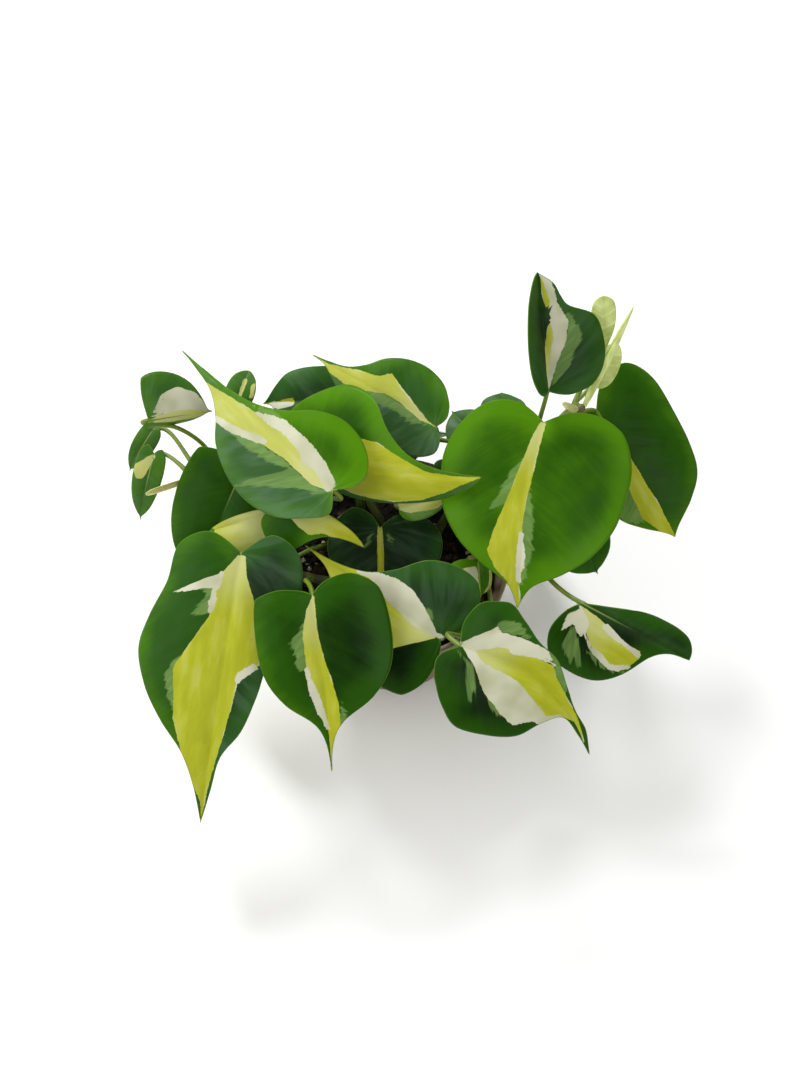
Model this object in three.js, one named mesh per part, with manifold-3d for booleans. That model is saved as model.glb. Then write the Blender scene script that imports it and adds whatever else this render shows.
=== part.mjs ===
// A young heart-leaf philodendron, lime and cream splashed on green, in a plain round nursery pot.
// Millimetres, +Z up. The pot stands on z = 0 with its axis on Z, and the plant's fuller side
// looks toward -Y. Leaves hang, arch and fold each in its own way, so each has a row of its own.
import * as THREE from "three";
import { mergeVertices } from "three/addons/utils/BufferGeometryUtils.js";
import Module from "manifold-3d";

const wasm = await Module();
wasm.setup();

// Pot: a thin tapered shell with a stepped rim band, and drain holes round a solid middle.
const potHeight = 72;
const potRimRadius = 50;
const potFootRadius = 31;
const potWall = 1.3;
const potFloor = 2;
const rimBandHeight = 11;
const rimBandStep = 2.2;
const potSides = 36;
const drainHoles = 6;
const drainRadius = 3;
const drainCircle = 22;

// Growing mix: fills the pot to a little below its rim, with a plain hole for each stem.
const soilTop = 64;
const soilBump = 0.9;
const seatGap = 0.3;
const holeDepth = 9;

// Leaves, petioles and stems.
const stemRadius = 2.1;
const petioleRadius = 1.1;
const bladeThickness = 0.7;
const petioleSlant = 45;
const petioleEase = 0.4;
const viaEase = 0.15;
const petioleSeat = 1.6;
const petioleSink = 0.2;
const rowsAlong = 10;
const rowsAcross = 2;

const rad = THREE.MathUtils.degToRad;
const vec = (p) => new THREE.Vector3(...p);

const materials = {
  pot: new THREE.MeshStandardMaterial({ color: 0x8a7a5c, roughness: 0.6, metalness: 0 }),
  soil: new THREE.MeshStandardMaterial({ color: 0x1c1610, roughness: 0.95, metalness: 0 }),
  stem: new THREE.MeshStandardMaterial({ color: 0x6f8a2c, roughness: 0.5, metalness: 0 }),
  blade: new THREE.MeshStandardMaterial({ color: 0x33640f, roughness: 0.4, metalness: 0 }),
  young: new THREE.MeshStandardMaterial({ color: 0xb9c67e, roughness: 0.5, metalness: 0 }),
  sheath: new THREE.MeshStandardMaterial({ color: 0xa98a5a, roughness: 0.7, metalness: 0 }),
};

// Half outlines: x is the share of the half's width, y the share of the leaf's length,
// from the notch at the petiole round the lobe and forward to the drip tip.
const outlines = {
  heart: halfOutline([
    [0, 0], [0.2, -0.1], [0.56, -0.14], [0.9, -0.01], [1, 0.22],
    [0.91, 0.48], [0.66, 0.7], [0.3, 0.85], [0.07, 0.92], [0, 1],
  ]),
  long: halfOutline([
    [0, 0], [0.22, -0.08], [0.6, -0.09], [0.92, 0.04], [1, 0.24],
    [0.86, 0.46], [0.58, 0.64], [0.25, 0.79], [0.06, 0.89], [0, 1],
  ]),
  tailed: halfOutline([
    [0, 0], [0.2, -0.1], [0.56, -0.14], [0.9, -0.02], [1, 0.2],
    [0.94, 0.42], [0.66, 0.58], [0.24, 0.7], [0.06, 0.82], [0, 1],
  ]),
  lobed: halfOutline([
    [0, 0], [0.25, -0.12], [0.62, -0.15], [0.94, -0.02], [1, 0.13],
    [0.84, 0.3], [0.46, 0.43], [0.2, 0.57], [0.06, 0.76], [0, 1],
  ]),
  broad: halfOutline([
    [0, 0], [0.3, -0.14], [0.76, -0.16], [1, 0.02], [0.99, 0.28],
    [0.92, 0.54], [0.78, 0.72], [0.48, 0.84], [0.14, 0.94], [0, 1],
  ]),
  waisted: halfOutline([
    [0, 0], [0.44, -0.08], [0.88, -0.02], [1, 0.12], [0.88, 0.25], [0.67, 0.37],
    [0.58, 0.5], [0.43, 0.63], [0.17, 0.74], [0.09, 0.87], [0, 1],
  ]),
  sloped: halfOutline([
    [0, 0], [0.28, -0.06], [0.62, 0.02], [0.88, 0.12], [1, 0.26], [0.93, 0.4],
    [0.7, 0.53], [0.38, 0.62], [0.15, 0.73], [0.06, 0.86], [0, 1],
  ]),
  full: halfOutline([
    [0, 0], [0.28, -0.1], [0.61, -0.09], [0.87, 0.03], [1, 0.2], [0.98, 0.38],
    [0.9, 0.53], [0.7, 0.68], [0.43, 0.79], [0.13, 0.88], [0, 1],
  ]),
  pear: halfOutline([
    [0, 0], [0.36, -0.06], [0.7, 0], [0.77, 0.14], [0.92, 0.27], [1, 0.4],
    [0.84, 0.53], [0.59, 0.64], [0.31, 0.74], [0.13, 0.86], [0, 1],
  ]),
  disc: halfOutline([
    [0, 0], [0.3, -0.06], [0.64, -0.05], [0.92, 0.05], [0.99, 0.18], [0.8, 0.29],
    [0.47, 0.38], [0.22, 0.49], [0.08, 0.63], [0.03, 0.8], [0, 1],
  ]),
  wavy: halfOutline([
    [0, 0], [0.33, -0.07], [0.78, -0.06], [1, 0.06], [0.78, 0.19], [0.55, 0.32],
    [0.46, 0.46], [0.26, 0.59], [0.12, 0.73], [0.12, 0.87], [0, 1],
  ]),
  hooked: halfOutline([
    [0, 0], [0.29, -0.06], [0.58, 0.03], [0.83, 0.14], [1, 0.27], [0.89, 0.43],
    [0.68, 0.55], [0.38, 0.61], [0.1, 0.7], [0.04, 0.85], [0, 1],
  ]),
  blunt: halfOutline([
    [0, 0], [0.19, 0.11], [0.38, 0.22], [0.6, 0.34], [0.82, 0.46], [0.96, 0.58],
    [1, 0.7], [0.97, 0.82], [0.8, 0.92], [0.42, 0.98], [0, 1],
  ]),
  notched: halfOutline([
    [0, 0], [0.35, -0.08], [0.78, 0.02], [1, 0.2], [1, 0.42],
    [0.86, 0.6], [0.46, 0.7], [0.34, 0.79], [0.24, 0.9], [0, 1],
  ]),
  slim: halfOutline([
    [0, 0], [0.3, -0.02], [0.66, 0.04], [0.93, 0.18], [1, 0.36],
    [0.94, 0.56], [0.76, 0.75], [0.5, 0.88], [0.24, 0.96], [0, 1],
  ]),
};

function halfOutline(points) {
  return new THREE.SplineCurve(points.map(([x, y]) => new THREE.Vector2(x, y)));
}

// Stems: each stands upright in its hole and then leans out under its leaves.
const stems = {
  right_back: [[20, 14], [26, 19, 78], [40, 28, 92], [58, 35, 104], [78, 42, 118]],
  front_right: [[18, -14], [20, -20, 75], [24, -30, 82], [28, -38, 87]],
  front_left: [[-16, -14], [-22, -16, 75], [-32, -18, 82], [-42, -18, 88]],
  left: [[-22, 6], [-30, 9, 76], [-44, 15, 82], [-60, 22, 86], [-74, 27, 87], [-88, 28, 86]],
  middle: [[-4, 16], [-8, 20, 76], [-13, 25, 87], [-18, 30, 96]],
  back_left: [[-14, 28], [-17, 36, 75], [-22, 44, 82], [-28, 52, 88]],
  back: [[6, 28], [7, 36, 75], [9, 43, 84], [12, 48, 92]],
  right: [[32, -2], [40, -2, 74], [52, -4, 80], [62, -8, 85]],
};

// What most leaves share. left and right are the widths of the halves, seen from the upper side
// with the tip pointing away, and outline, lobes, fold and curve list the left half first. lobes
// is how far the lobes reach back, fold lifts each half from the midrib, and curve bends it over
// toward the margin. arch bends the midrib down from base to tip, sway bows it sideways, and wave
// ripples the margin.
const usual = {
  outline: ["heart", "heart"],
  lobes: [0.75, 0.75],
  face: [0, -0.5, 0.85],
  fold: [14, 14],
  curve: [-34, -34],
  arch: 22,
  sway: 0,
  wave: 0.5,
  waves: 2,
  kind: "blade",
};

// base is where the petiole meets the blade, tip the point of the drip tip, face the way that
// the upper side looks. stem and at say where on which stem the petiole starts.
const leaves = [
  {
    name: "leaf_01_front_left", stem: "front_left", at: 0.97, outline: ["waisted", "pear"],
    base: [-59, -18, 102], tip: [-76, -106, 40], left: 26, right: 36, lobes: [1, 1],
    fold: [10, 12], curve: [-30, -50], arch: 20, wave: 1,
  },
  {
    name: "leaf_02_front_heart", stem: "front_left", at: 0.8, outline: ["tailed", "tailed"],
    base: [-30, -39, 106], tip: [-23, -93, 62], left: 28, right: 24, lobes: [0.7, 0.3],
    fold: [14, 16], curve: [-34, -40], arch: 16, sway: -1,
  },
  {
    name: "leaf_03_front_splash", stem: "front_right", at: 0.75, outline: ["tailed", "lobed"],
    base: [19, -50, 91], tip: [-35, -10, 95], left: 31, right: 27, lobes: [0.5, 0.6],
    fold: [-8, 22], curve: [-20, -40], arch: 30, wave: 0.8,
  },
  {
    name: "leaf_04_front_right", stem: "right", at: 0.3, outline: ["wavy", "hooked"],
    base: [26, -59, 103], tip: [77, -87, 65], left: 23, right: 31, lobes: [1, 1],
    fold: [8, 14], curve: [-40, -30], arch: 24, sway: -9, wave: 1,
    via: [[40, -26, 79], [35, -48, 88]],
  },
  {
    name: "leaf_05_right_heart", stem: "right_back", at: 0.6, outline: ["full", "full"],
    base: [61, 31, 122], tip: [50, -34, 86], left: 39, right: 37, lobes: [0.7, 0.9],
    fold: [10, 6], curve: [-26, -36], arch: 16, sway: 2,
  },
  {
    name: "leaf_06_right_hanging", stem: "right_back", at: 0.95, outline: ["broad", "broad"],
    base: [86, 49, 107], tip: [121, 8, 72], left: 29, right: 21, lobes: [1, 0.5],
    fold: [6, -18], curve: [-30, -10], arch: 20,
  },
  {
    name: "leaf_07_upright", stem: "right_back", at: 0.78, outline: ["slim", "notched"],
    base: [63, 42, 128], tip: [57, 74, 162], left: 15, right: 24, lobes: [1, 0.6],
    fold: [62, 10], curve: [-10, -30], arch: 10,
  },
  {
    name: "leaf_08_left_large", stem: "left", at: 0.18, outline: ["sloped", "disc"],
    base: [-23, 1, 118], tip: [-88, 69, 122], left: 27, right: 24, lobes: [1, 1],
    fold: [4, 10], curve: [-30, -40], arch: 20, via: [[-31, 11, 84], [-28, 8, 102]],
  },
  {
    name: "leaf_09_middle_lime", stem: "middle", at: 0.75, outline: ["lobed", "slim"],
    base: [-29, 22, 106], tip: [35, 5, 121], left: 34, right: 14, lobes: [1.8, 0.3],
    fold: [10, -14], curve: [-34, -30], arch: 20, sway: 1,
  },
  {
    name: "leaf_10_back_lime", stem: "back", at: 0.8, outline: ["long", "sloped"],
    base: [18, 38, 110], tip: [-34, 75, 112], left: 17, right: 20, lobes: [0.9, 0.6],
    fold: [0, 10], curve: [-30, -34], arch: 16,
  },
  {
    name: "leaf_11_back_dark", stem: "back_left", at: 0.9, outline: ["heart", "broad"],
    base: [-19, 67, 90], tip: [-57, 66, 90], left: 13, right: 17,
    face: [0, -0.3, 0.95],
  },
  {
    name: "leaf_12_left_dark", stem: "left", at: 0.55,
    base: [-62, 30, 94], tip: [-84, -14, 64], left: 22, right: 24, lobes: [0.6, 0.2],
    face: [-0.1, -0.5, 0.85], curve: [-40, -40],
  },
  {
    name: "leaf_13_low_middle", stem: "front_left", at: 0.35, outline: ["heart", "tailed"],
    base: [-5, 6, 82], tip: [-4, -27, 75], left: 26, right: 22, lobes: [1.3, 2.1],
    face: [0, -0.3, 0.95], fold: [8, 8], curve: [-20, -20], arch: 10,
  },
  {
    name: "leaf_14_under_left", stem: "left", at: 0.36, outline: ["slim", "lobed"],
    base: [-42, 1, 107], tip: [-11, -13, 98], left: 5, right: 17, lobes: [0.75, 1.2],
    fold: [10, 2], curve: [-20, -24],
  },
  {
    name: "leaf_15_small_lime", stem: "left", at: 0.45, outline: ["heart", "slim"],
    base: [-50, 3, 98], tip: [-75, 0, 89], left: 15, right: 3,
  },
  {
    name: "leaf_16_young_curled", stem: "right", at: 0.5,
    base: [35, -14, 88], tip: [36, -27, 82], left: 8, right: 12,
    fold: [20, 10], curve: [70, -20], arch: 30,
  },
  {
    name: "leaf_17_right_low", stem: "right", at: 0.95, outline: ["blunt", "tailed"],
    base: [75, -35, 92], tip: [118, -52, 76], left: 10, right: 28, lobes: [0.4, 0.9],
    fold: [10, -6], curve: [-60, -30], arch: 10,
  },
  {
    name: "leaf_18_far_left", stem: "left", at: 0.84,
    base: [-99, 37, 116], tip: [-75, 47, 109], left: 19, right: 11, lobes: [0.3, 0.75],
    fold: [20, -70], curve: [-30, -20], arch: 20, via: [[-80, 41, 92], [-90, 42, 104]],
  },
  {
    name: "leaf_19_far_left_hanging", stem: "left", at: 0.93,
    base: [-103, 48, 94], tip: [-117, 43, 71], left: 5, right: 5,
  },
  {
    name: "leaf_20_far_left_low", stem: "left", at: 0.99,
    base: [-102, 38, 90], tip: [-112, 24, 60], left: 6, right: 7,
  },
  {
    name: "leaf_21_back_left_small", stem: "back_left", at: 0.95, outline: ["slim", "slim"],
    base: [-67, 59, 98], tip: [-62, 73, 104], left: 7, right: 6,
  },
  {
    name: "leaf_22_back_small", stem: "back", at: 0.95,
    base: [38, 42, 92], tip: [26, 62, 90], left: 11, right: 11,
  },
  {
    name: "leaf_23_back_right_small", stem: "right_back", at: 0.4, outline: ["broad", "broad"],
    base: [48, 44, 98], tip: [48, 69, 94], left: 11, right: 11,
  },
  {
    name: "leaf_24_right_under", stem: "right", at: 0.75,
    base: [73, 4, 90], tip: [87, -8, 68], left: 14, right: 14,
  },
  {
    name: "leaf_25_middle_low", stem: "back", at: 0.5, outline: ["slim", "slim"],
    base: [3, 11, 90], tip: [23, 18, 88], left: 7, right: 7,
  },
  {
    name: "leaf_26_middle_back", stem: "back", at: 0.6,
    base: [26, 36, 84], tip: [19, 20, 77], left: 9, right: 8,
  },
  {
    name: "leaf_27_young_upright", stem: "right_back", at: 0.98, outline: ["blunt", "blunt"],
    base: [85, 57, 128], tip: [85, 73, 150], left: 5, right: 5, lobes: [0, 0], kind: "young",
  },
  {
    name: "leaf_28_young_side", stem: "right_back", at: 0.9, outline: ["slim", "slim"],
    base: [84, 55, 116], tip: [93, 66, 130], left: 6, right: 6, kind: "young",
  },
  {
    name: "leaf_29_back_hanging", stem: "back", at: 0.75,
    base: [4, 56, 82], tip: [2, 82, 34], left: 23, right: 24, face: [0, 0.8, 0.6],
  },
  {
    name: "leaf_30_back_left_hanging", stem: "back_left", at: 0.65,
    base: [-38, 52, 78], tip: [-54, 70, 34], left: 20, right: 21, face: [-0.4, 0.7, 0.6],
  },
  {
    name: "leaf_31_back_right_hanging", stem: "back", at: 0.5,
    base: [40, 52, 80], tip: [52, 72, 34], left: 20, right: 21, face: [0.4, 0.7, 0.6],
  },
  {
    name: "leaf_32_right_side_hanging", stem: "right", at: 0.6,
    base: [72, 24, 92], tip: [94, 34, 44], left: 20, right: 19, face: [0.8, 0.2, 0.5],
  },
  {
    name: "leaf_33_left_side_hanging", stem: "left", at: 0.2, lobes: [0.4, 0.4],
    base: [-57.4, -15.2, 73.3], tip: [-74, -26, 32], left: 17, right: 17, face: [-0.8, -0.3, 0.5],
  },
  {
    name: "leaf_34_front_low_left", stem: "front_left", at: 0.5, lobes: [0.2, 0.2],
    base: [-34, -48, 78], tip: [-34, -62, 46], left: 14, right: 15, face: [-0.2, -0.8, 0.5],
  },
  {
    name: "leaf_35_front_low_right", stem: "front_right", at: 0.45, lobes: [0.3, 0.3],
    base: [40, -45, 78], tip: [50, -60, 42], left: 14, right: 14, face: [0.2, -0.8, 0.5],
  },
];

// Papery sheaths that a new leaf leaves behind, each just clear of its stem.
const sheaths = [
  {
    name: "sheath_left", outline: ["slim", "slim"],
    base: [-89.4, 27.4, 85], tip: [-105, 22, 83.5], face: [0, -0.6, 0.8],
    left: 2.5, right: 3, fold: [40, 40], curve: [50, 50], arch: 40,
  },
  {
    name: "sheath_right_back", outline: ["slim", "slim"],
    base: [75.4, 39.5, 118.1], tip: [69, 40.6, 122.4], face: [0, -0.6, 0.8],
    left: 2, right: 2, fold: [20, 20], curve: [40, 40], arch: 50,
  },
];

// The newest leaf, still rolled into a spike on the tip of its stem.
const spike = { foot: [78.7, 42.3, 118.6], tip: [96, 67, 150], radius: 2, sides: 8 };

// A blade's own directions: along the chord from base to tip, out of the upper side, and across.
function bladeFrame(leaf) {
  const base = vec(leaf.base);
  const along = vec(leaf.tip).sub(base);
  const length = along.length();
  along.normalize();
  const up = vec(leaf.face);
  up.addScaledVector(along, -up.dot(along)).normalize();
  const across = along.clone().cross(up);
  return { base, along, up, across, length };
}

// Where on the midrib, as a share of its length, the vein to margin place s starts.
function veinRoot(s) {
  const lobeEnd = 0.26;
  return Math.max(0, (s - lobeEnd) / (1 - lobeEnd)) ** 1.15;
}

// A point of the blade's middle surface. side is -1 for the left half and 1 for the right one,
// s runs round the margin from the notch to the tip, and r out from the midrib to the margin.
function bladePoint(leaf, frame, side, s, r) {
  const half = side < 0 ? 0 : 1;
  const width = [leaf.left, leaf.right][half];
  const margin = outlines[leaf.outline[half]].getPoint(s);
  const ahead = margin.y < 0 ? margin.y * leaf.lobes[half] : margin.y;
  const t = THREE.MathUtils.lerp(veinRoot(s), ahead, r);
  const out = margin.x * r;
  const lift = rad(leaf.fold[half] + 0.5 * leaf.curve[half] * out);
  const ripple = leaf.wave * out * r * Math.sin(2 * Math.PI * leaf.waves * s + side);
  const x = side * width * out * Math.cos(lift);
  const z = width * out * Math.sin(lift) + ripple;
  const bend = rad(leaf.arch);
  const slope = bend * (0.5 - t);
  const reach = (frame.length / 2) * (1 - Math.sin(slope) / Math.sin(bend / 2));
  const rise = ((frame.length / 2) * (Math.cos(slope) - Math.cos(bend / 2))) / Math.sin(bend / 2);
  const bow = leaf.sway * Math.sin(Math.PI * Math.max(0, t));
  return frame.base
    .clone()
    .addScaledVector(frame.along, reach - z * Math.sin(slope))
    .addScaledVector(frame.up, rise + z * Math.cos(slope))
    .addScaledVector(frame.across, x + bow);
}

// The blade as a closed sheet: its middle surface moved half the thickness to each side, with the
// same triangles on both faces and a narrow wall round the margin.
function bladeSolid(leaf, frame) {
  const points = [];
  const triangles = [];
  const rim = [];
  const known = new Map();
  const vertex = (side, i, j) => {
    const atBase = i === 0 || (j === 0 && veinRoot(i / rowsAlong) === 0);
    const key = atBase ? "base" : i === rowsAlong ? "tip" : `${j === 0 ? 0 : side} ${i} ${j}`;
    if (!known.has(key)) {
      known.set(key, points.length);
      const s = atBase ? 0 : i / rowsAlong;
      points.push(bladePoint(leaf, frame, side, s, atBase ? 0 : j / rowsAcross));
    }
    return known.get(key);
  };
  const add = (side, a, b, c) => {
    if (a === b || b === c || c === a) return;
    triangles.push(side > 0 ? [a, b, c] : [a, c, b]);
  };
  for (const side of [1, -1]) {
    for (let i = 0; i < rowsAlong; i++) {
      for (let j = 0; j < rowsAcross; j++) {
        const [a, b] = [vertex(side, i, j), vertex(side, i + 1, j)];
        const [c, d] = [vertex(side, i + 1, j + 1), vertex(side, i, j + 1)];
        add(side, a, d, c);
        add(side, a, c, b);
      }
      const edge = [vertex(side, i, rowsAcross), vertex(side, i + 1, rowsAcross)];
      rim.push(side > 0 ? edge : edge.reverse());
    }
  }
  const normals = points.map(() => new THREE.Vector3());
  for (const [a, b, c] of triangles) {
    const ab = points[b].clone().sub(points[a]);
    const ac = points[c].clone().sub(points[a]);
    const face = ab.cross(ac);
    for (const k of [a, b, c]) normals[k].add(face);
  }
  const shift = points.map((p, k) => normals[k].normalize().multiplyScalar(bladeThickness / 2));
  const upper = points.map((p, k) => p.clone().add(shift[k]));
  const lower = points.map((p, k) => p.clone().sub(shift[k]));
  const n = points.length;
  const faces = [];
  for (const [a, b, c] of triangles) faces.push([a, b, c], [n + a, n + c, n + b]);
  for (const [a, b] of rim) faces.push([b, a, n + a], [b, n + a, n + b]);
  return solid([...upper, ...lower], faces);
}

function solid(points, faces) {
  const vertProperties = new Float32Array(points.flatMap((p) => [p.x, p.y, p.z]));
  const triVerts = new Uint32Array(faces.flat());
  return new wasm.Manifold(new wasm.Mesh({ numProp: 3, vertProperties, triVerts }));
}

function solidOf(geometry) {
  const bare = geometry.clone();
  bare.deleteAttribute("normal");
  bare.deleteAttribute("uv");
  const merged = mergeVertices(bare, 1e-4);
  const vertProperties = new Float32Array(merged.attributes.position.array);
  const triVerts = new Uint32Array(merged.index.array);
  return new wasm.Manifold(new wasm.Mesh({ numProp: 3, vertProperties, triVerts }));
}

function meshOf(name, body, material) {
  const mesh = body.getMesh();
  const geometry = new THREE.BufferGeometry();
  geometry.setAttribute("position", new THREE.BufferAttribute(mesh.vertProperties, 3));
  geometry.setIndex(new THREE.BufferAttribute(mesh.triVerts, 1));
  geometry.computeVertexNormals();
  const made = new THREE.Mesh(geometry, material);
  made.name = name;
  return made;
}

function tube(curve, radius, sides, steps) {
  const section = new THREE.Shape();
  for (let k = 0; k < sides; k++) {
    const angle = (2 * Math.PI * k) / sides;
    const [x, y] = [radius * Math.cos(angle), radius * Math.sin(angle)];
    if (k === 0) section.moveTo(x, y);
    else section.lineTo(x, y);
  }
  section.closePath();
  return solidOf(new THREE.ExtrudeGeometry(section, { steps, extrudePath: curve }));
}

// A stem's curve, straight up through its hole before it leans.
function stemCurve([[x, y], ...rest]) {
  const foot = [soilTop - holeDepth + seatGap, soilTop - 4, soilTop + 2.5];
  const upright = foot.map((z) => new THREE.Vector3(x, y, z));
  return new THREE.CatmullRomCurve3([...upright, ...rest.map(vec)]);
}

// A petiole leaves its stem at a slant, just clear of it, and comes up under the blade's base.
function petioleCurve(leaf, frame) {
  const stem = stemCurves[leaf.stem];
  const start = stem.getPointAt(leaf.at);
  const upStem = stem.getTangentAt(leaf.at);
  const outward = (leaf.via ? vec(leaf.via[0]) : frame.base.clone()).sub(start);
  outward.addScaledVector(upStem, -outward.dot(upStem)).normalize();
  const slant = rad(petioleSlant);
  const foot = start
    .clone()
    .addScaledVector(outward, stemRadius + seatGap + petioleRadius * Math.sin(slant));
  const leaving = outward.clone().multiplyScalar(Math.cos(slant));
  leaving.addScaledVector(upStem, Math.sin(slant));
  const arriving = frame.along.clone().multiplyScalar(0.6).addScaledVector(frame.up, 0.8);
  const end = frame.base.clone().addScaledVector(frame.along, petioleSeat);
  end.addScaledVector(frame.up, -petioleSink);
  const reach = foot.distanceTo(end);
  if (leaf.via) {
    return new THREE.CatmullRomCurve3([
      foot,
      foot.clone().addScaledVector(leaving, viaEase * reach),
      ...leaf.via.map(vec),
      end.clone().addScaledVector(arriving, -viaEase * reach),
      end,
    ]);
  }
  return new THREE.CubicBezierCurve3(
    foot,
    foot.clone().addScaledVector(leaving, petioleEase * reach),
    end.clone().addScaledVector(arriving, -petioleEase * reach),
    end,
  );
}

function makeLeaf(row) {
  const leaf = { ...usual, ...row };
  const frame = bladeFrame(leaf);
  const petiole = tube(petioleCurve(leaf, frame), petioleRadius, 5, 7);
  const body = bladeSolid(leaf, frame).add(petiole);
  return meshOf(leaf.name, body, materials[leaf.kind]);
}

function makeSheath(row) {
  const sheath = { ...usual, ...row, wave: 0.2 };
  return meshOf(sheath.name, bladeSolid(sheath, bladeFrame(sheath)), materials.sheath);
}

function makeSpike() {
  const foot = vec(spike.foot);
  const along = vec(spike.tip).sub(foot);
  const length = along.length();
  const profile = [
    [0, 0],
    [0.55 * spike.radius, 0],
    [0.85 * spike.radius, 0.2 * length],
    [spike.radius, 0.45 * length],
    [0.7 * spike.radius, 0.75 * length],
    [0.25 * spike.radius, 0.95 * length],
    [0, length],
  ];
  const turned = lathe(profile, spike.sides);
  const up = new THREE.Vector3(0, 0, 1);
  turned.applyQuaternion(new THREE.Quaternion().setFromUnitVectors(up, along.normalize()));
  turned.translate(...spike.foot);
  return meshOf("new_leaf_rolled", solidOf(turned), materials.young);
}

function lathe(profile, sides) {
  const points = profile.map(([r, z]) => new THREE.Vector2(r, z));
  const turned = new THREE.LatheGeometry(points, sides);
  turned.rotateX(Math.PI / 2);
  return turned;
}

function upright(radius, low, high, x, y) {
  const pin = new THREE.CylinderGeometry(radius, radius, high - low, 10);
  pin.rotateX(Math.PI / 2);
  pin.translate(x, y, (low + high) / 2);
  return solidOf(pin);
}

// The outer wall's radius at a height, below the rim band.
function wallRadius(z) {
  const wallTop = potRimRadius - rimBandStep - 0.6;
  return THREE.MathUtils.lerp(potFootRadius, wallTop, z / potHeight);
}

function makePot() {
  const bandFoot = potHeight - rimBandHeight;
  const profile = [
    [0, 0],
    [potFootRadius - 1.2, 0],
    [wallRadius(1.2), 1.2],
    [wallRadius(bandFoot), bandFoot],
    [potRimRadius - 0.8, bandFoot],
    [potRimRadius - 0.3, potHeight - 1.4],
    [potRimRadius, potHeight - 0.7],
    [potRimRadius - 0.5, potHeight],
    [potRimRadius - 2, potHeight],
    [potRimRadius - 0.8 - potWall - 0.2, bandFoot + 2],
    [wallRadius(bandFoot) - potWall, bandFoot - 1],
    [wallRadius(potFloor) - potWall, potFloor + 0.8],
    [wallRadius(potFloor) - potWall - 1, potFloor],
    [0, potFloor],
  ];
  let body = solidOf(lathe(profile, potSides));
  for (let k = 0; k < drainHoles; k++) {
    const angle = (2 * Math.PI * (k + 0.5)) / drainHoles;
    const [x, y] = [drainCircle * Math.cos(angle), drainCircle * Math.sin(angle)];
    body = body.subtract(upright(drainRadius, -1, potFloor + 1, x, y));
  }
  return meshOf("pot", body, materials.pot);
}

function makeSoil() {
  const gap = potWall + seatGap;
  const bandFoot = potHeight - rimBandHeight;
  const low = potFloor + seatGap;
  const profile = [
    [0, low],
    [wallRadius(low) - gap - 1.2, low],
    [wallRadius(low + 1) - gap, low + 1],
    [wallRadius(bandFoot) - gap, bandFoot - 1],
    [wallRadius(bandFoot) - gap + 0.2, soilTop - 1.5],
    [42, soilTop - 0.4],
    [34, soilTop],
    [25, soilTop],
    [16, soilTop],
    [8, soilTop],
    [0, soilTop],
  ];
  const turned = lathe(profile, potSides);
  const place = turned.attributes.position;
  for (let k = 0; k < place.count; k++) {
    const [x, y, z] = [place.getX(k), place.getY(k), place.getZ(k)];
    if (z < soilTop - 0.6) continue;
    const bump = Math.sin(0.31 * x + 1.3) * Math.cos(0.27 * y) + 0.6 * Math.sin(0.5 * y - 0.44 * x);
    place.setZ(k, z + soilBump * bump);
  }
  let body = solidOf(turned);
  for (const [[x, y]] of Object.values(stems)) {
    const hole = upright(stemRadius + 2 * seatGap, soilTop - holeDepth, soilTop + 5, x, y);
    body = body.subtract(hole);
  }
  return meshOf("soil", body, materials.soil);
}

function makeStem(place, curve) {
  return meshOf(`stem_${place}`, tube(curve, stemRadius, 6, 12), materials.stem);
}

const stemCurves = Object.fromEntries(
  Object.entries(stems).map(([place, route]) => [place, stemCurve(route)]),
);

const plant = new THREE.Group();
plant.add(makePot(), makeSoil());
for (const [place, curve] of Object.entries(stemCurves)) plant.add(makeStem(place, curve));
for (const row of leaves) plant.add(makeLeaf(row));
for (const row of sheaths) plant.add(makeSheath(row));
plant.add(makeSpike());

export default plant;
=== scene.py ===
# Cream splash philodendron in its nursery pot: fine leaves with their markings, stems, mix and pot.
# Lengths are in millimetres until a piece is finished, and metres after that.
import math
import random

import bmesh
import bpy
import numpy as np
from mathutils import Matrix, Vector, noise
from mathutils.geometry import interpolate_bezier


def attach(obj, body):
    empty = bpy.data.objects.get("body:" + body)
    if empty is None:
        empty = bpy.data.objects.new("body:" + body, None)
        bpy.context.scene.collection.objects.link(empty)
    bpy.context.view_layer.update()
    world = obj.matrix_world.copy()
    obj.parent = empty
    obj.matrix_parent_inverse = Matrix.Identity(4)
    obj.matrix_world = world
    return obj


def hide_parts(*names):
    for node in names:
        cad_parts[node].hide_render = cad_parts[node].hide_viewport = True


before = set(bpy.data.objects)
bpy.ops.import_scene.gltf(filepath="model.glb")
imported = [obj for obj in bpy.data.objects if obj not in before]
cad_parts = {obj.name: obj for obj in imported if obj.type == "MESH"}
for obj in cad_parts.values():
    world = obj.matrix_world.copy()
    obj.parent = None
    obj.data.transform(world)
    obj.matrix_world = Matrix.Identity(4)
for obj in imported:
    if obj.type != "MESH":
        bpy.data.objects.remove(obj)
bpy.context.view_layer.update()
mm = 0.001
print("frame loaded:", len(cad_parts), "nodes")


def linear(value):
    value /= 255
    return value / 12.92 if value < 0.04045 else ((value + 0.055) / 1.055) ** 2.4


def paint(red, green, blue):
    return (linear(red), linear(green), linear(blue), 1)


def isSocket(value):
    return isinstance(value, bpy.types.NodeSocket)


def addNode(kind, inputs, tree=None, **settings):
    # a node in the tree of the sockets that feed it, or else in the tree given
    tree = tree or next(value.id_data for value in inputs.values() if isSocket(value))
    made = tree.nodes.new(kind)
    for key, value in settings.items():
        setattr(made, key, value)
    for socket, value in inputs.items():
        if isSocket(value):
            tree.links.new(value, made.inputs[socket])
        else:
            made.inputs[socket].default_value = value
    return made


def maths(operation, a, b=0.0, clamp=False):
    return addNode("ShaderNodeMath", {0: a, 1: b}, operation=operation, use_clamp=clamp).outputs[0]


def times(a, b):
    return maths("MULTIPLY", a, b)


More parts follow.
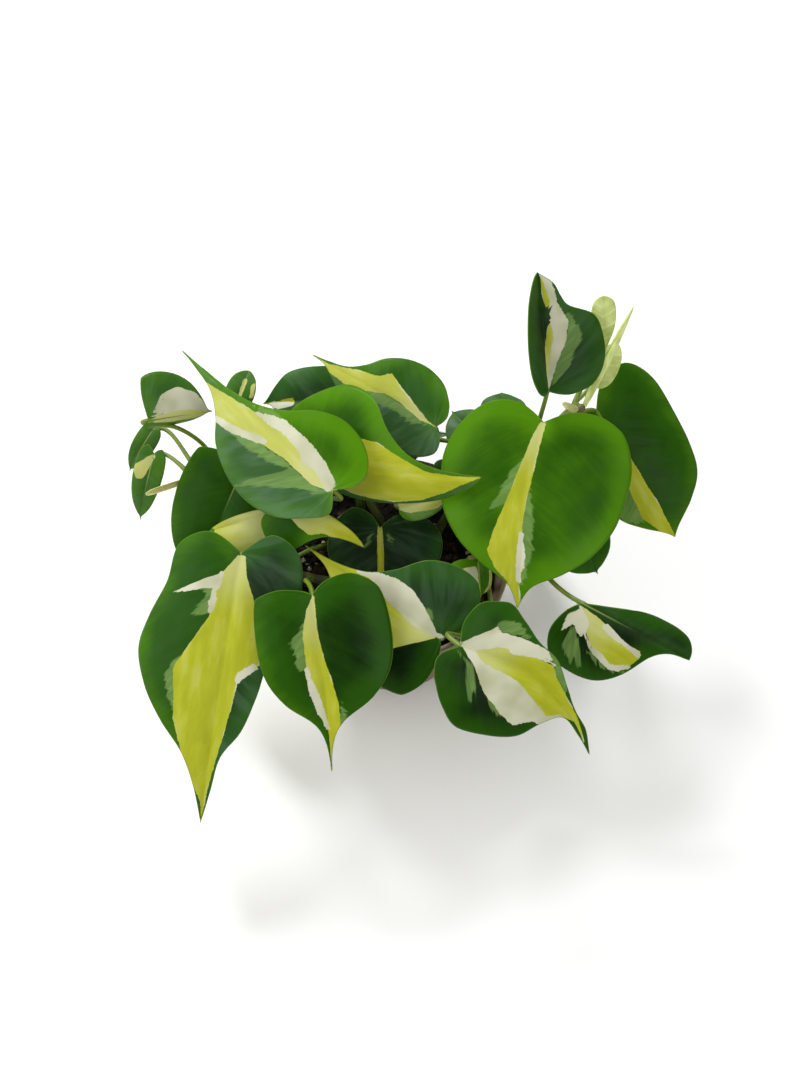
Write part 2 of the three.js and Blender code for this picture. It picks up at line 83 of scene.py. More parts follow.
def plus(a, b, clamp=False):
    return maths("ADD", a, b, clamp)


def centred(value, width):
    # a grain as a shift to both sides of nought
    return times(maths("SUBTRACT", value, 0.5), width)


def step(value, low, high):
    inputs = {"Value": value, "From Min": low, "From Max": high}
    return addNode("ShaderNodeMapRange", inputs, interpolation_type="SMOOTHSTEP").outputs["Result"]


def blend(share, a, b):
    return addNode("ShaderNodeMix", {0: share, 6: a, 7: b}, data_type="RGBA").outputs[2]


def fade(value, low, high, a, b):
    return blend(step(value, low, high), a, b)


def grain(place, stretch, detail, roughness=0.5, shift=(0, 0, 0)):
    # a noise that repeats so often along each axis of its place
    inputs = {0: place, 1: stretch, 2: shift}
    moved = addNode("ShaderNodeVectorMath", inputs, operation="MULTIPLY_ADD").outputs[0]
    inputs = {"Vector": moved, "Scale": 1.0, "Detail": detail, "Roughness": roughness}
    return addNode("ShaderNodeTexNoise", inputs).outputs["Fac"]


def mapOf(tree, name):
    # one of the piece's own UV maps, or its object coordinates
    if name == "object":
        return addNode("ShaderNodeTexCoord", {}, tree).outputs["Object"]
    return addNode("ShaderNodeUVMap", {}, tree, uv_map=name).outputs["UV"]


def valueOf(tree, name):
    return addNode("ShaderNodeAttribute", {}, tree, attribute_name=name).outputs["Fac"]


def bump(height, strength, distance, below=None):
    inputs = {"Height": height, "Strength": strength, "Distance": distance}
    if below:
        inputs["Normal"] = below
    return addNode("ShaderNodeBump", inputs).outputs["Normal"]


def newMaterial(name, roughness, specular):
    material = bpy.data.materials.new(name)
    material.use_nodes = True
    tree = material.node_tree
    shader = tree.nodes["Principled BSDF"]
    shader.inputs["Roughness"].default_value = roughness
    shader.inputs["Specular IOR Level"].default_value = specular
    return material, tree, shader


def finishSurface(tree, shader, colour, normal, roughness=None):
    tree.links.new(colour, shader.inputs["Base Color"])
    tree.links.new(normal, shader.inputs["Normal"])
    if roughness:
        tree.links.new(roughness, shader.inputs["Roughness"])


# the blades' colours, over and under; the bloom colour is partly the leaf's own grey-green and partly a
# painted sheen
upperLook = dict(
    dark=paint(8, 28, 3), middle=paint(34, 76, 4), bright=paint(72, 122, 6),
    bloom=paint(88, 118, 90), sage=paint(114, 146, 78), limeDeep=paint(154, 160, 12),
    lime=paint(170, 175, 30), limePale=paint(184, 187, 116), cream=paint(196, 196, 172),
    creamShade=paint(170, 172, 138), margin=paint(92, 124, 40), speck=paint(90, 66, 28),
    roughness=0.34, specular=0.06,
)
underLook = dict(
    dark=paint(70, 104, 58), middle=paint(88, 124, 64), bright=paint(112, 146, 72),
    bloom=paint(120, 146, 118), sage=paint(132, 154, 108), limeDeep=paint(168, 170, 70),
    lime=paint(190, 190, 98), limePale=paint(206, 206, 154), cream=paint(212, 210, 184),
    creamShade=paint(196, 192, 164), margin=paint(150, 166, 100), speck=paint(110, 96, 60),
    roughness=0.55, specular=0.1,
)
rimLook = {**upperLook, "middle": paint(74, 108, 26), "bright": paint(110, 138, 48)}
# the noises on a blade: the map, how often it repeats across and along, its detail and its roughness
leafGrains = dict(
    broad=("vein", (12, 5, 1), 1.0, 0.5), fine=("vein", (74, 11, 1), 2.5, 0.6),
    brush=("vein", (50, 5, 1), 3.0, 0.62), smear=("vein", (16, 6, 1), 2.0, 0.5),
    cloud=("flat", (6, 6, 1), 2.0, 0.5), rays=("flat", (22, 5, 1), 3.0, 0.55),
    dots=("flat", (120, 120, 1), 1.0, 0.5), cells=("flat", (260, 260, 1), 2.0, 0.5),
)
# how far, in millimetres, the markings' edges run out along the veins and how sharp they are
markEdge = dict(broad=1.5, fine=1.5, brush=6.0, limeJag=0.6, crisp=0.12, soft=0.5,
                creamFade=(-1.4, 0.8), seam=(-1.1, -0.8), rim=(0.75, 0.15))
# how much each thing changes the tone or the colour of a blade
shade = dict(marginReach=13.0, margin=0.42, patch=0.5, streak=0.2, rib=0.07, bloomSheenEven=0.35, bloomSheenPatch=0.7,
             sageStreak=0.4, sage=0.85, baseReach=26.0, paleBase=0.9, paleRays=0.35, speck=0.8,
             midrib=0.4, marginLine=0.6, paleRough=0.05, rough=0.14)


def markingShares(tree, noises):
    # how deep each point lies inside the markings once their edges are frayed, and what each covers
    jag = plus(centred(noises["broad"], markEdge["broad"]), centred(noises["fine"], markEdge["fine"]))
    limeDepth = plus(valueOf(tree, "lime"), times(jag, markEdge["limeJag"]))
    creamDepth = plus(valueOf(tree, "cream"), jag)
    sageDepth = plus(valueOf(tree, "sage"), centred(noises["brush"], markEdge["brush"]))
    crisp, soft = markEdge["crisp"], markEdge["soft"]
    limeShare = step(limeDepth, -crisp, crisp)
    sageShare = step(sageDepth, -soft, soft)
    # cream ends sharply on green, fades into lime and fills the seam between the two
    creamHard = step(creamDepth, -crisp, crisp)
    creamSoft = step(creamDepth, *markEdge["creamFade"])
    creamGap = times(limeShare, maths("SUBTRACT", creamSoft, creamHard))
    seam = step(maths("MINIMUM", limeDepth, creamDepth), *markEdge["seam"])
    creamShare = maths("MAXIMUM", plus(creamHard, creamGap, True), seam)
    return limeDepth, limeShare, creamShare, sageShare


def greenColour(tree, noises, look, edge):
    # darker along the middle of each half, brighter toward the margin, with a grey-green bloom in places
    # that is partly the leaf's own and partly a painted sheen
    cloud, brush = noises["cloud"], noises["brush"]
    towardMargin = times(step(edge, shade["marginReach"], 0.0), shade["margin"])
    tone = plus(valueOf(tree, "tone"), towardMargin)
    tone = plus(tone, plus(centred(cloud, shade["patch"]), centred(brush, shade["streak"])))
    tone = plus(tone, times(step(valueOf(tree, "rib"), 0.7, 1.0), shade["rib"]))
    green = fade(tone, -0.1, 0.5, look["dark"], look["middle"])
    green = fade(tone, 0.5, 1.15, green, look["bright"])
    # the bloom's share, in patches over an even part: painted sheen along with the leaf's own grey-green
    bloomSheenShare = plus(times(step(noises["smear"], 0.4, 0.68), shade["bloomSheenPatch"]), shade["bloomSheenEven"])
    return blend(times(valueOf(tree, "bloom"), bloomSheenShare), green, look["bloom"])


def limeColour(tree, noises, look, nearBase, limeDepth):
    # paler at the petiole and along some rays, with bits of a thin cream line at its edge
    rays = noises["rays"]
    lime = fade(rays, 0.3, 0.66, look["limeDeep"], look["lime"])
    paleRays = times(step(rays, 0.52, 0.74), shade["paleRays"])
    pale = plus(times(nearBase, shade["paleBase"]), paleRays, True)
    pale = plus(pale, valueOf(tree, "milk"), True)
    rim = times(step(limeDepth, *markEdge["rim"]), step(noises["broad"], 0.52, 0.8))
    return blend(rim, blend(pale, lime, look["limePale"]), look["cream"])


def leafMaterial(name, look):
    material, tree, shader = newMaterial(name, look["roughness"], look["specular"])
    seed = addNode("ShaderNodeCombineXYZ", {"Z": valueOf(tree, "seed")}).outputs[0]
    maps = {key: mapOf(tree, key) for key in ("vein", "flat")}
    noises = {}
    for key, (where, stretch, detail, roughness) in leafGrains.items():
        noises[key] = grain(maps[where], stretch, detail, roughness, seed)
    limeDepth, limeShare, creamShare, sageShare = markingShares(tree, noises)
    edge = valueOf(tree, "edge")
    nearBase = step(valueOf(tree, "reach"), shade["baseReach"], 3.0)
    # sage lies over green, lime over both and cream over all
    green = greenColour(tree, noises, look, edge)
    sageStreak = times(step(noises["brush"], 0.35, 0.65), shade["sageStreak"])
    colour = blend(times(sageShare, shade["sage"]), green, blend(sageStreak, look["sage"], green))
    colour = blend(limeShare, colour, limeColour(tree, noises, look, nearBase, limeDepth))
    cream = fade(noises["cloud"], 0.4, 0.7, look["cream"], look["creamShade"])
    colour = blend(creamShare, colour, cream)
    # a few corky specks, the midrib and the thin pale line round the margin
    colour = blend(times(step(noises["dots"], 0.79, 0.82), shade["speck"]), colour, look["speck"])
    midrib = times(step(valueOf(tree, "midrib"), 0.5, 0.1), nearBase)
    colour = blend(times(midrib, shade["midrib"]), colour, look["limePale"])
    colour = blend(times(step(edge, 0.4, 0.1), shade["marginLine"]), colour, look["margin"])
    paleness = times(maths("MAXIMUM", limeShare, creamShare), shade["paleRough"])
    rough = plus(plus(look["roughness"], paleness), centred(noises["cloud"], shade["rough"]))
    normal = bump(noises["cells"], 0.10, 0.00015, bump(noises["fine"], 0.07, 0.0004))
    finishSurface(tree, shader, colour, normal, rough)
    return material


# The plainer surfaces. A grain (its map, stretch, detail and roughness) fades between two colours,
# and patches by a second grain bring a third. The first grain makes the bumps, or bumpsFrom.
plain = dict(specular=0.5, between=(0.3, 0.7), patchShare=1.0, bumpsFrom="grain")
surfaces = dict(
    petiole=dict(
        roughness=0.42, grain=("flat", (260, 8, 1), 2.0, 0.5), colours=[(72, 98, 14), (122, 142, 34)],
        patches=("object", (60, 60, 60), 2.0, 0.5), patchBetween=(0.56, 0.8), patchShare=0.35,
        patchColour=(112, 92, 36), bump=(0.25, 0.0002)),
    stem=dict(
        roughness=0.48, grain=("flat", (180, 10, 1), 3.0, 0.5), colours=[(48, 68, 14), (86, 102, 28)],
        patches=("object", (45, 45, 45), 3.0, 0.5), patchBetween=(0.56, 0.76), patchColour=(74, 60, 28),
        scarColour=(112, 96, 54), bump=(0.4, 0.0003)),
    # a young blade's pale greens are partly its own and partly painted light shining through the thin
    # blade
    youngBlade=dict(
        roughness=0.42, specular=0.45, grain=("flat", (16, 16, 1), 2.0, 0.5), between=(0.35, 0.65),
        colours=[(172, 188, 96), (202, 212, 132)], patches=("vein", (60, 6, 1), 2.0, 0.5),
        patchBetween=(0.5, 0.7), patchShare=0.6, patchColour=(226, 230, 172), bump=(0.2, 0.0003),
        bumpsFrom="patches"),
    drySheath=dict(
        roughness=0.66, specular=0.3, grain=("flat", (600, 40, 1), 2.0, 0.5), between=(0.35, 0.65),
        colours=[(208, 208, 148), (184, 184, 112)], patches=("flat", (30, 30, 1), 3.0, 0.5),
        patchBetween=(0.58, 0.76), patchColour=(168, 146, 92), bump=(0.4, 0.0003)),
    growingMix=dict(
        roughness=0.9, specular=0.2, grain=("object", (380, 380, 380), 5.0, 0.65), between=(0.35, 0.7),
        colours=[(9, 8, 4), (25, 20, 12)], patches=("object", (90, 90, 90), 3.0, 0.5),
        patchBetween=(0.5, 0.75), patchShare=0.5, patchColour=(34, 27, 17), bump=(0.9, 0.0012)),
    barkChips=dict(
        roughness=0.85, specular=0.2, grain=("object", (500, 500, 1500), 4.0, 0.5),
        colours=[(24, 15, 8), (58, 40, 24)], bump=(0.7, 0.0006)),
    perlite=dict(
        roughness=0.8, specular=0.3, grain=("object", (900, 900, 900), 3.0, 0.5),
        colours=[(132, 124, 104), (196, 192, 178)], bump=(0.6, 0.0004)),
)


def surfaceMaterial(name):
    look = {**plain, **surfaces[name]}
    material, tree, shader = newMaterial(name, look["roughness"], look["specular"])
    grains = {key: grain(mapOf(tree, look[key][0]), *look[key][1:])
              for key in ("grain", "patches") if key in look}
    first, second = (paint(*colour) for colour in look["colours"])
    colour = fade(grains["grain"], *look["between"], first, second)
    if "patches" in look:
        share = times(step(grains["patches"], *look["patchBetween"]), look["patchShare"])
        colour = blend(share, colour, paint(*look["patchColour"]))
    if "scarColour" in look:
        colour = blend(valueOf(tree, "scar"), colour, paint(*look["scarColour"]))
    finishSurface(tree, shader, colour, bump(grains[look["bumpsFrom"]], *look["bump"]))
    return material


leafUpper = leafMaterial("bladeUpper", upperLook)
leafUnder = leafMaterial("bladeUnder", underLook)
leafRim = leafMaterial("bladeRim", rimLook)
finishes = {name: surfaceMaterial(name) for name in surfaces}
print("finishes ready")


def hermite(b, c, go, arrive, w):
    # the cubic from b to c that sets off along go and comes in along arrive
    cubic = (2 * b - 2 * c + go + arrive) * w ** 3
    square = (-3 * b + 3 * c - 2 * go - arrive) * w ** 2
    return cubic + square + go * w + b


def smoothPoint(points, t):
    # even Catmull-Rom through flat points, as the outlines use
    place = (len(points) - 1) * t
    i = int(place)
    a, b, c, d = (points[max(0, min(len(points) - 1, k))] for k in (i - 1, i, i + 1, i + 2))
    return [hermite(b[k], c[k], (c[k] - a[k]) / 2, (d[k] - b[k]) / 2, place - i) for k in range(2)]


def curveThrough(points, steps):
    # centripetal Catmull-Rom through space, as the stems use
    points = [Vector(p) for p in points]
    route = []
    last = len(points) - 1
    for k in range(steps + 1):
        place = last * k / steps
        i = min(int(place), last - 1)
        b, c = points[i], points[i + 1]
        a = points[i - 1] if i > 0 else 2 * b - c
        d = points[i + 2] if i + 2 <= last else 2 * c - b
        first, mid, third = ((q - p).length ** 0.5 for p, q in ((a, b), (b, c), (c, d)))
        go = ((b - a) / first - (c - a) / (first + mid) + (c - b) / mid) * mid
        arrive = ((c - b) / mid - (d - b) / (mid + third) + (d - c) / third) * mid
        route.append(hermite(b, c, go, arrive, place - i))
    return route


def placeOn(route, share):
    # the point and direction at a share of a route's length
    lengths = [(q - p).length for p, q in zip(route, route[1:])]
    left = share * sum(lengths)
    for p, q, length in zip(route, route[1:], lengths):
        if left <= length:
            return p.lerp(q, left / length), (q - p).normalized()
        left -= length
    return route[-1].copy(), (route[-1] - route[-2]).normalized()


def newGrid(bm, columns, rows):
    # a grid from -1 to 1, and its faces
    made = bmesh.ops.create_grid(bm, x_segments=columns, y_segments=rows, size=1)["verts"]
    faces = list({f for v in made for f in v.link_faces})
    for face in faces:
        face.smooth = True
    return made, faces


def tube(bm, route, radii, sides, slot):
    # a grid wrapped round the route; its ends close because their radius is nought
    rows = len(route) - 1
    made, faces = newGrid(bm, sides, rows)
    frames = []
    side = Vector((0, 0, 1)).cross(route[-1] - route[0])
    if side.length < 1e-3:
        side = Vector((1, 0, 0))
    travelled = [0.0]
    for k, point in enumerate(route):
        ahead = route[min(k + 1, rows)] - route[max(k - 1, 0)]
        ahead = ahead.normalized() if ahead.length > 1e-9 else frames[-1][0]
        side = (side - ahead * side.dot(ahead)).normalized()
        frames.append((ahead, side, ahead.cross(side)))
        if k:
            travelled.append(travelled[-1] + (point - route[k - 1]).length)
    flat = bm.loops.layers.uv["flat"]
    for face in faces:
        face.material_index = slot
        for loop in face.loops:
            k = round((loop.vert.co.y + 1) / 2 * rows)
            around = (loop.vert.co.x + 1) * math.pi * max(radii)
            loop[flat].uv = (around / 100, travelled[k] / 100)
    for v in made:
        k = round((v.co.y + 1) / 2 * rows)
        angle = (v.co.x + 1) * math.pi
        across, over = frames[k][1:]
        v.co = route[k] + radii[k] * (math.cos(angle) * across + math.sin(angle) * over)
    bmesh.ops.remove_doubles(bm, verts=made, dist=2e-3)


def thicken(bm, faces, thickness):
    # gives a sheet its thickness, half to each side, and returns its under faces and its rim
    way = bm.verts.layers.float_vector.new("way")
    bm.normal_update()
    for v in {v for f in faces for v in f.verts}:
        v[way] = v.normal
        v.co += v.normal * (thickness / 2)
    before = set(bm.faces)
    made = bmesh.ops.extrude_face_region(bm, geom=faces, use_keep_orig=True)["geom"]
    under = {g for g in made if isinstance(g, bmesh.types.BMFace)}
    for v in {g for g in made if isinstance(g, bmesh.types.BMVert)}:
        v.co -= v[way] * thickness
    bm.verts.layers.float_vector.remove(way)
    wall = [f for f in bm.faces if f not in before and f not in under]
    for face in list(under) + wall:
        face.smooth = True
    return under, wall


def roundedEnds(route, radii):
    # three short rings at each end, so that the tube ends in a dome
    dome = [(0.7, 0), (0.55, 0.55), (0.25, 0.88)]
    first, last = (route[1] - route[0]).normalized(), (route[-1] - route[-2]).normalized()
    a, b = radii[0], radii[-1]
    start = [(route[0] - first * a * out, a * wide) for out, wide in dome]
    end = [(route[-1] + last * b * out, b * wide) for out, wide in reversed(dome)]
    whole = start + list(zip(route, radii)) + end
    return [p for p, r in whole], [r for p, r in whole]


def meshFrom(bm, name):
    mesh = bpy.data.meshes.new(name)
    bm.to_mesh(mesh)
    bm.free()
    return mesh


def addObject(name, data):
    made = bpy.data.objects.new(name, data)
    bpy.context.scene.collection.objects.link(made)
    return made


def finishPiece(bm, name, materials, slot, *nodes):
    bmesh.ops.recalc_face_normals(bm, faces=bm.faces)
    bmesh.ops.scale(bm, vec=(mm, mm, mm), verts=bm.verts)
    piece = addObject(name, meshFrom(bm, name))
    for material in materials:
        piece.data.materials.append(material)
    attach(piece, "root")
    if nodes:
        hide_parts(*nodes)
    return piece


pot = dict(height=72, rimRadius=50, footRadius=31, wall=1.3, floor=2, band=11, step=2.2,
           sides=120, drains=6, drainRadius=3, drainCircle=22)
bandFoot = pot["height"] - pot["band"]


def wallRadius(z):
    wallTop = pot["rimRadius"] - pot["step"] - 0.6
    return pot["footRadius"] + (wallTop - pot["footRadius"]) * z / pot["height"]


def spinProfile(bm, profile, sides):
    corners = [bm.verts.new((r, 0, z)) for r, z in profile]
    edges = [bm.edges.new(pair) for pair in zip(corners, corners[1:])]
    bmesh.ops.spin(bm, geom=corners + edges, cent=(0, 0, 0), axis=(0, 0, 1), angle=2 * math.pi,
                   steps=sides, use_merge=True)
    bmesh.ops.remove_doubles(bm, verts=bm.verts, dist=1e-3)
    for face in bm.faces:
        face.smooth = True


def potMaterial():
    # tan plastic, a little dusty, with soil marks toward the foot
    material, tree, shader = newMaterial("potPlastic", 0.52, 0.4)
    place = mapOf(tree, "object")
    cloud = grain(place, (40, 40, 40), 4.0)
    dust = grain(place, (160, 160, 40), 3.0)
    colour = fade(cloud, 0.35, 0.7, paint(132, 114, 90), paint(118, 100, 78))
    height = addNode("ShaderNodeSeparateXYZ", {0: place}).outputs["Z"]
    soiled = times(step(height, 0.02, 0.0), step(dust, 0.42, 0.6))
    colour = blend(times(soiled, 0.5), colour, paint(74, 60, 46))
    colour = blend(times(step(dust, 0.58, 0.74), 0.35), colour, paint(160, 146, 124))
    rough = plus(0.46, times(cloud, 0.14))
    finishSurface(tree, shader, colour, bump(dust, 0.12, 0.0002), rough)
    return material


def makePot():
    top, high, foot = pot["rimRadius"], pot["height"], pot["footRadius"]
    wall, floor = pot["wall"], pot["floor"]
    outside = [
        (0, 1.1), (12, 1.1), (13.2, 0), (foot - 1.4, 0), (foot - 0.6, 0.3),
        (wallRadius(1.2), 1.2), (wallRadius(24), 24), (wallRadius(bandFoot - 0.5), bandFoot - 0.5),
        (wallRadius(bandFoot) + 0.2, bandFoot), (top - 1.2, bandFoot), (top - 0.9, bandFoot + 0.3),
    ]
    lip = [
        (top - 0.35, high - 1.6), (top, high - 1.1), (top, high - 0.5), (top - 0.3, high - 0.1),
        (top - 0.7, high), (top - 1.6, high), (top - 2, high - 0.3),
    ]
    inside = [
        (top - 1 - wall, bandFoot + 2.2), (wallRadius(bandFoot) - wall, bandFoot - 1),
        (wallRadius(24) - wall, 24), (wallRadius(2.8) - wall, 2.8), (wallRadius(2) - wall - 1, floor),
        (0, floor),
    ]
    bm = bmesh.new()
    bm.loops.layers.uv.new("flat")
    spinProfile(bm, outside + lip + inside, pot["sides"])
    piece = finishPiece(bm, "nursery_pot", [potMaterial()], "pot", "pot")
    cutter = bmesh.new()
    drain = pot["drainRadius"] * mm
    for k in range(pot["drains"]):
        angle = 2 * math.pi * (k + 0.5) / pot["drains"]
        place = Vector((math.cos(angle), math.sin(angle), 0)) * pot["drainCircle"] * mm
        place.z = mm
        bmesh.ops.create_cone(cutter, cap_ends=True, segments=28, radius1=drain, radius2=drain,
                              depth=10 * mm, matrix=Matrix.Translation(place))
    cut = addObject("drainCut", meshFrom(cutter, "drainCut"))
    drains = piece.modifiers.new("drains", "BOOLEAN")
    drains.operation, drains.solver, drains.object = "DIFFERENCE", "EXACT", cut
    bpy.context.view_layer.update()
    finished = bpy.data.meshes.new_from_object(piece.evaluated_get(bpy.context.evaluated_depsgraph_get()))
    piece.modifiers.clear()
    piece.data = finished
    bpy.data.objects.remove(cut)


makePot()
print("pot made")

mix = dict(top=64, bump=0.9, lump=1.1, gap=0.3, sides=150, rings=40, ringStep=1.1)
# loose bits lying on the mix: how many, how large, how flat, how fine and how dented
bits = [
    dict(name="perlite_grains", finish="perlite", count=60, seed=11, size=(0.4, 1.1), squash=(0.7, 1.0),
         divisions=2, rough=0.7),
    dict(name="bark_chips", finish="barkChips", count=70, seed=23, size=(1.6, 3.6), squash=(0.22, 0.42),
         divisions=2, rough=0.8),
    dict(name="mix_crumbs", finish="growingMix", count=1100, seed=37, size=(0.3, 1.1), squash=(0.6, 1.0),
         divisions=1, rough=0.9),
]


def mixHeight(x, y):
    wave = math.sin(0.31 * x + 1.3) * math.cos(0.27 * y) + 0.6 * math.sin(0.5 * y - 0.44 * x)
    broad = noise.noise(Vector((x * 0.22, y * 0.22, 3.1)))
    fine = noise.noise(Vector((x * 0.6, y * 0.6, 9.4)))
    return mix["top"] + mix["bump"] * wave + mix["lump"] * (broad + 0.6 * fine)


def makeMix():
    gap = pot["wall"] + mix["gap"]
    low = pot["floor"] + mix["gap"]
    side = wallRadius(bandFoot) - gap
    radii = [side + 0.1] + [side - 0.4 - k * mix["ringStep"] for k in range(mix["rings"])]
    profile = [(0, low), (wallRadius(low) - gap - 1.2, low), (wallRadius(low + 1) - gap, low + 1),
               (side, bandFoot - 1), (side + 0.2, mix["top"] - 1.5)]
    profile += [(r, mix["top"]) for r in radii if r > 0.6] + [(0, mix["top"])]
    bm = bmesh.new()
    bm.loops.layers.uv.new("flat")
    spinProfile(bm, profile, mix["sides"])
    for v in bm.verts:
        if v.co.z > mix["top"] - 0.6:
            v.co.z = mixHeight(v.co.x, v.co.y)
    finishPiece(bm, "growing_mix", [finishes["growingMix"]], "soil", "soil")


def scatter(name, finish, count, seed, size, squash, divisions, rough):
    # each bit is turned and dented in its own way
    dice = random.Random(seed)
    bm = bmesh.new()
    reach = wallRadius(bandFoot) - 3
    for k in range(count):
        angle, away = dice.uniform(0, 2 * math.pi), reach * math.sqrt(dice.random())
        x, y = away * math.cos(angle), away * math.sin(angle)
        r = dice.uniform(*size)
        made = bmesh.ops.create_icosphere(bm, subdivisions=divisions, radius=r)["verts"]
        for v in made:
            v.co *= 1 + rough * noise.noise(v.co * (1.4 / r) + Vector((k, seed, 0)))
        shape = Matrix.Diagonal((dice.uniform(0.8, 1.5), dice.uniform(0.7, 1.1), dice.uniform(*squash), 1))
        leanX, leanY = (Matrix.Rotation(dice.uniform(-0.5, 0.5), 4, axis) for axis in ("X", "Y"))
        turn = Matrix.Rotation(dice.uniform(0, 6.28), 4, "Z")
        move = Matrix.Translation((x, y, mixHeight(x, y) + r * squash[0] * 0.35))
        bmesh.ops.transform(bm, matrix=move @ turn @ leanX @ leanY @ shape, verts=made)
    for face in bm.faces:
        face.smooth = divisions > 1
    finishPiece(bm, name, [finishes[finish]], "soil")


makeMix()
for row in bits:
    scatter(**row)
print("growing mix made")

stem = dict(radius=2.1, holeDepth=9, sides=20, steps=120, taper=0.22, knot=0.42, knotHalf=0.9,
            scar=0.8, scarReach=3.1, nubs=2, nubLength=(1.2, 2.2), nubBelow=0.015, nubClear=4,
            nubShape=[(0, 0.75), (0.45, 0.7), (0.7, 0.55), (0.9, 0.35), (1, 0)])
stems = {
    "right_back": [[20, 14], [26, 19, 78], [40, 28, 92], [58, 35, 104], [78, 42, 118]],
    "front_right": [[18, -14], [20, -20, 75], [24, -30, 82], [28, -38, 87]],
    "front_left": [[-16, -14], [-22, -16, 75], [-32, -18, 82], [-42, -18, 88]],
    "left": [[-22, 6], [-30, 9, 76], [-44, 15, 82], [-60, 22, 86], [-74, 27, 87], [-88, 28, 86]],
    "middle": [[-4, 16], [-8, 20, 76], [-13, 25, 87], [-18, 30, 96]],
    "back_left": [[-14, 28], [-17, 36, 75], [-22, 44, 82], [-28, 52, 88]],
    "back": [[6, 28], [7, 36, 75], [9, 43, 84], [12, 48, 92]],
    "right": [[32, -2], [40, -2, 74], [52, -4, 80], [62, -8, 85]],
}


def stemRoute(name):
    (x, y), *rest = stems[name]
    foot = [mix["top"] - stem["holeDepth"] + mix["gap"], mix["top"] - 4, mix["top"] + 2.5]
    return curveThrough([(x, y, z) for z in foot] + rest, stem["steps"])


stemRoutes = {name: stemRoute(name) for name in stems}


def makeStem(name, route, shares):
    bm = bmesh.new()
    bm.loops.layers.uv.new("flat")
    scar = bm.verts.layers.float.new("scar")
    radii = []
    lengths = [0.0]
    for p, q in zip(route, route[1:]):
        lengths.append(lengths[-1] + (q - p).length)
    whole = lengths[-1]
    knots = sorted(set(shares))
    for travelled in lengths:
        radius = stem["radius"] * (1 - stem["taper"] * travelled / whole)
        for share in knots:
            away = abs(travelled - share * whole)
            radius += stem["knot"] * math.exp(-(away / stem["knotHalf"]) ** 2)
        radii.append(radius)
    points, radii = roundedEnds(route, radii)
    tube(bm, points, radii, stem["sides"], 0)
    marks = [placeOn(route, share)[0] for share in knots]
    for v in bm.verts:
        nearest = min(((v.co - mark).length for mark in marks), default=9)
        v[scar] = max(0.0, 1 - (nearest / stem["scarReach"]) ** 4) * stem["scar"]
    # short brown root nubs under each knot
    dice = random.Random(name)
    for share in knots:
        point, ahead = placeOn(route, max(0, share - stem["nubBelow"]))
        if point.z < mix["top"] + stem["nubClear"]:
            continue
        for k in range(stem["nubs"]):
            down = Vector((dice.uniform(-0.5, 0.5), dice.uniform(-0.5, 0.5), -1))
            down = (down - ahead * down.dot(ahead)).normalized()
            tip = point + down * (stem["radius"] + dice.uniform(*stem["nubLength"]))
            stretch = [point.lerp(tip, t) for t, radius in stem["nubShape"]]
            tube(bm, stretch, [radius for t, radius in stem["nubShape"]], 8, 1)
    skins = [finishes["stem"], finishes["barkChips"]]
    finishPiece(bm, "stem_fine_" + name, skins, "stem", "stem_" + name)


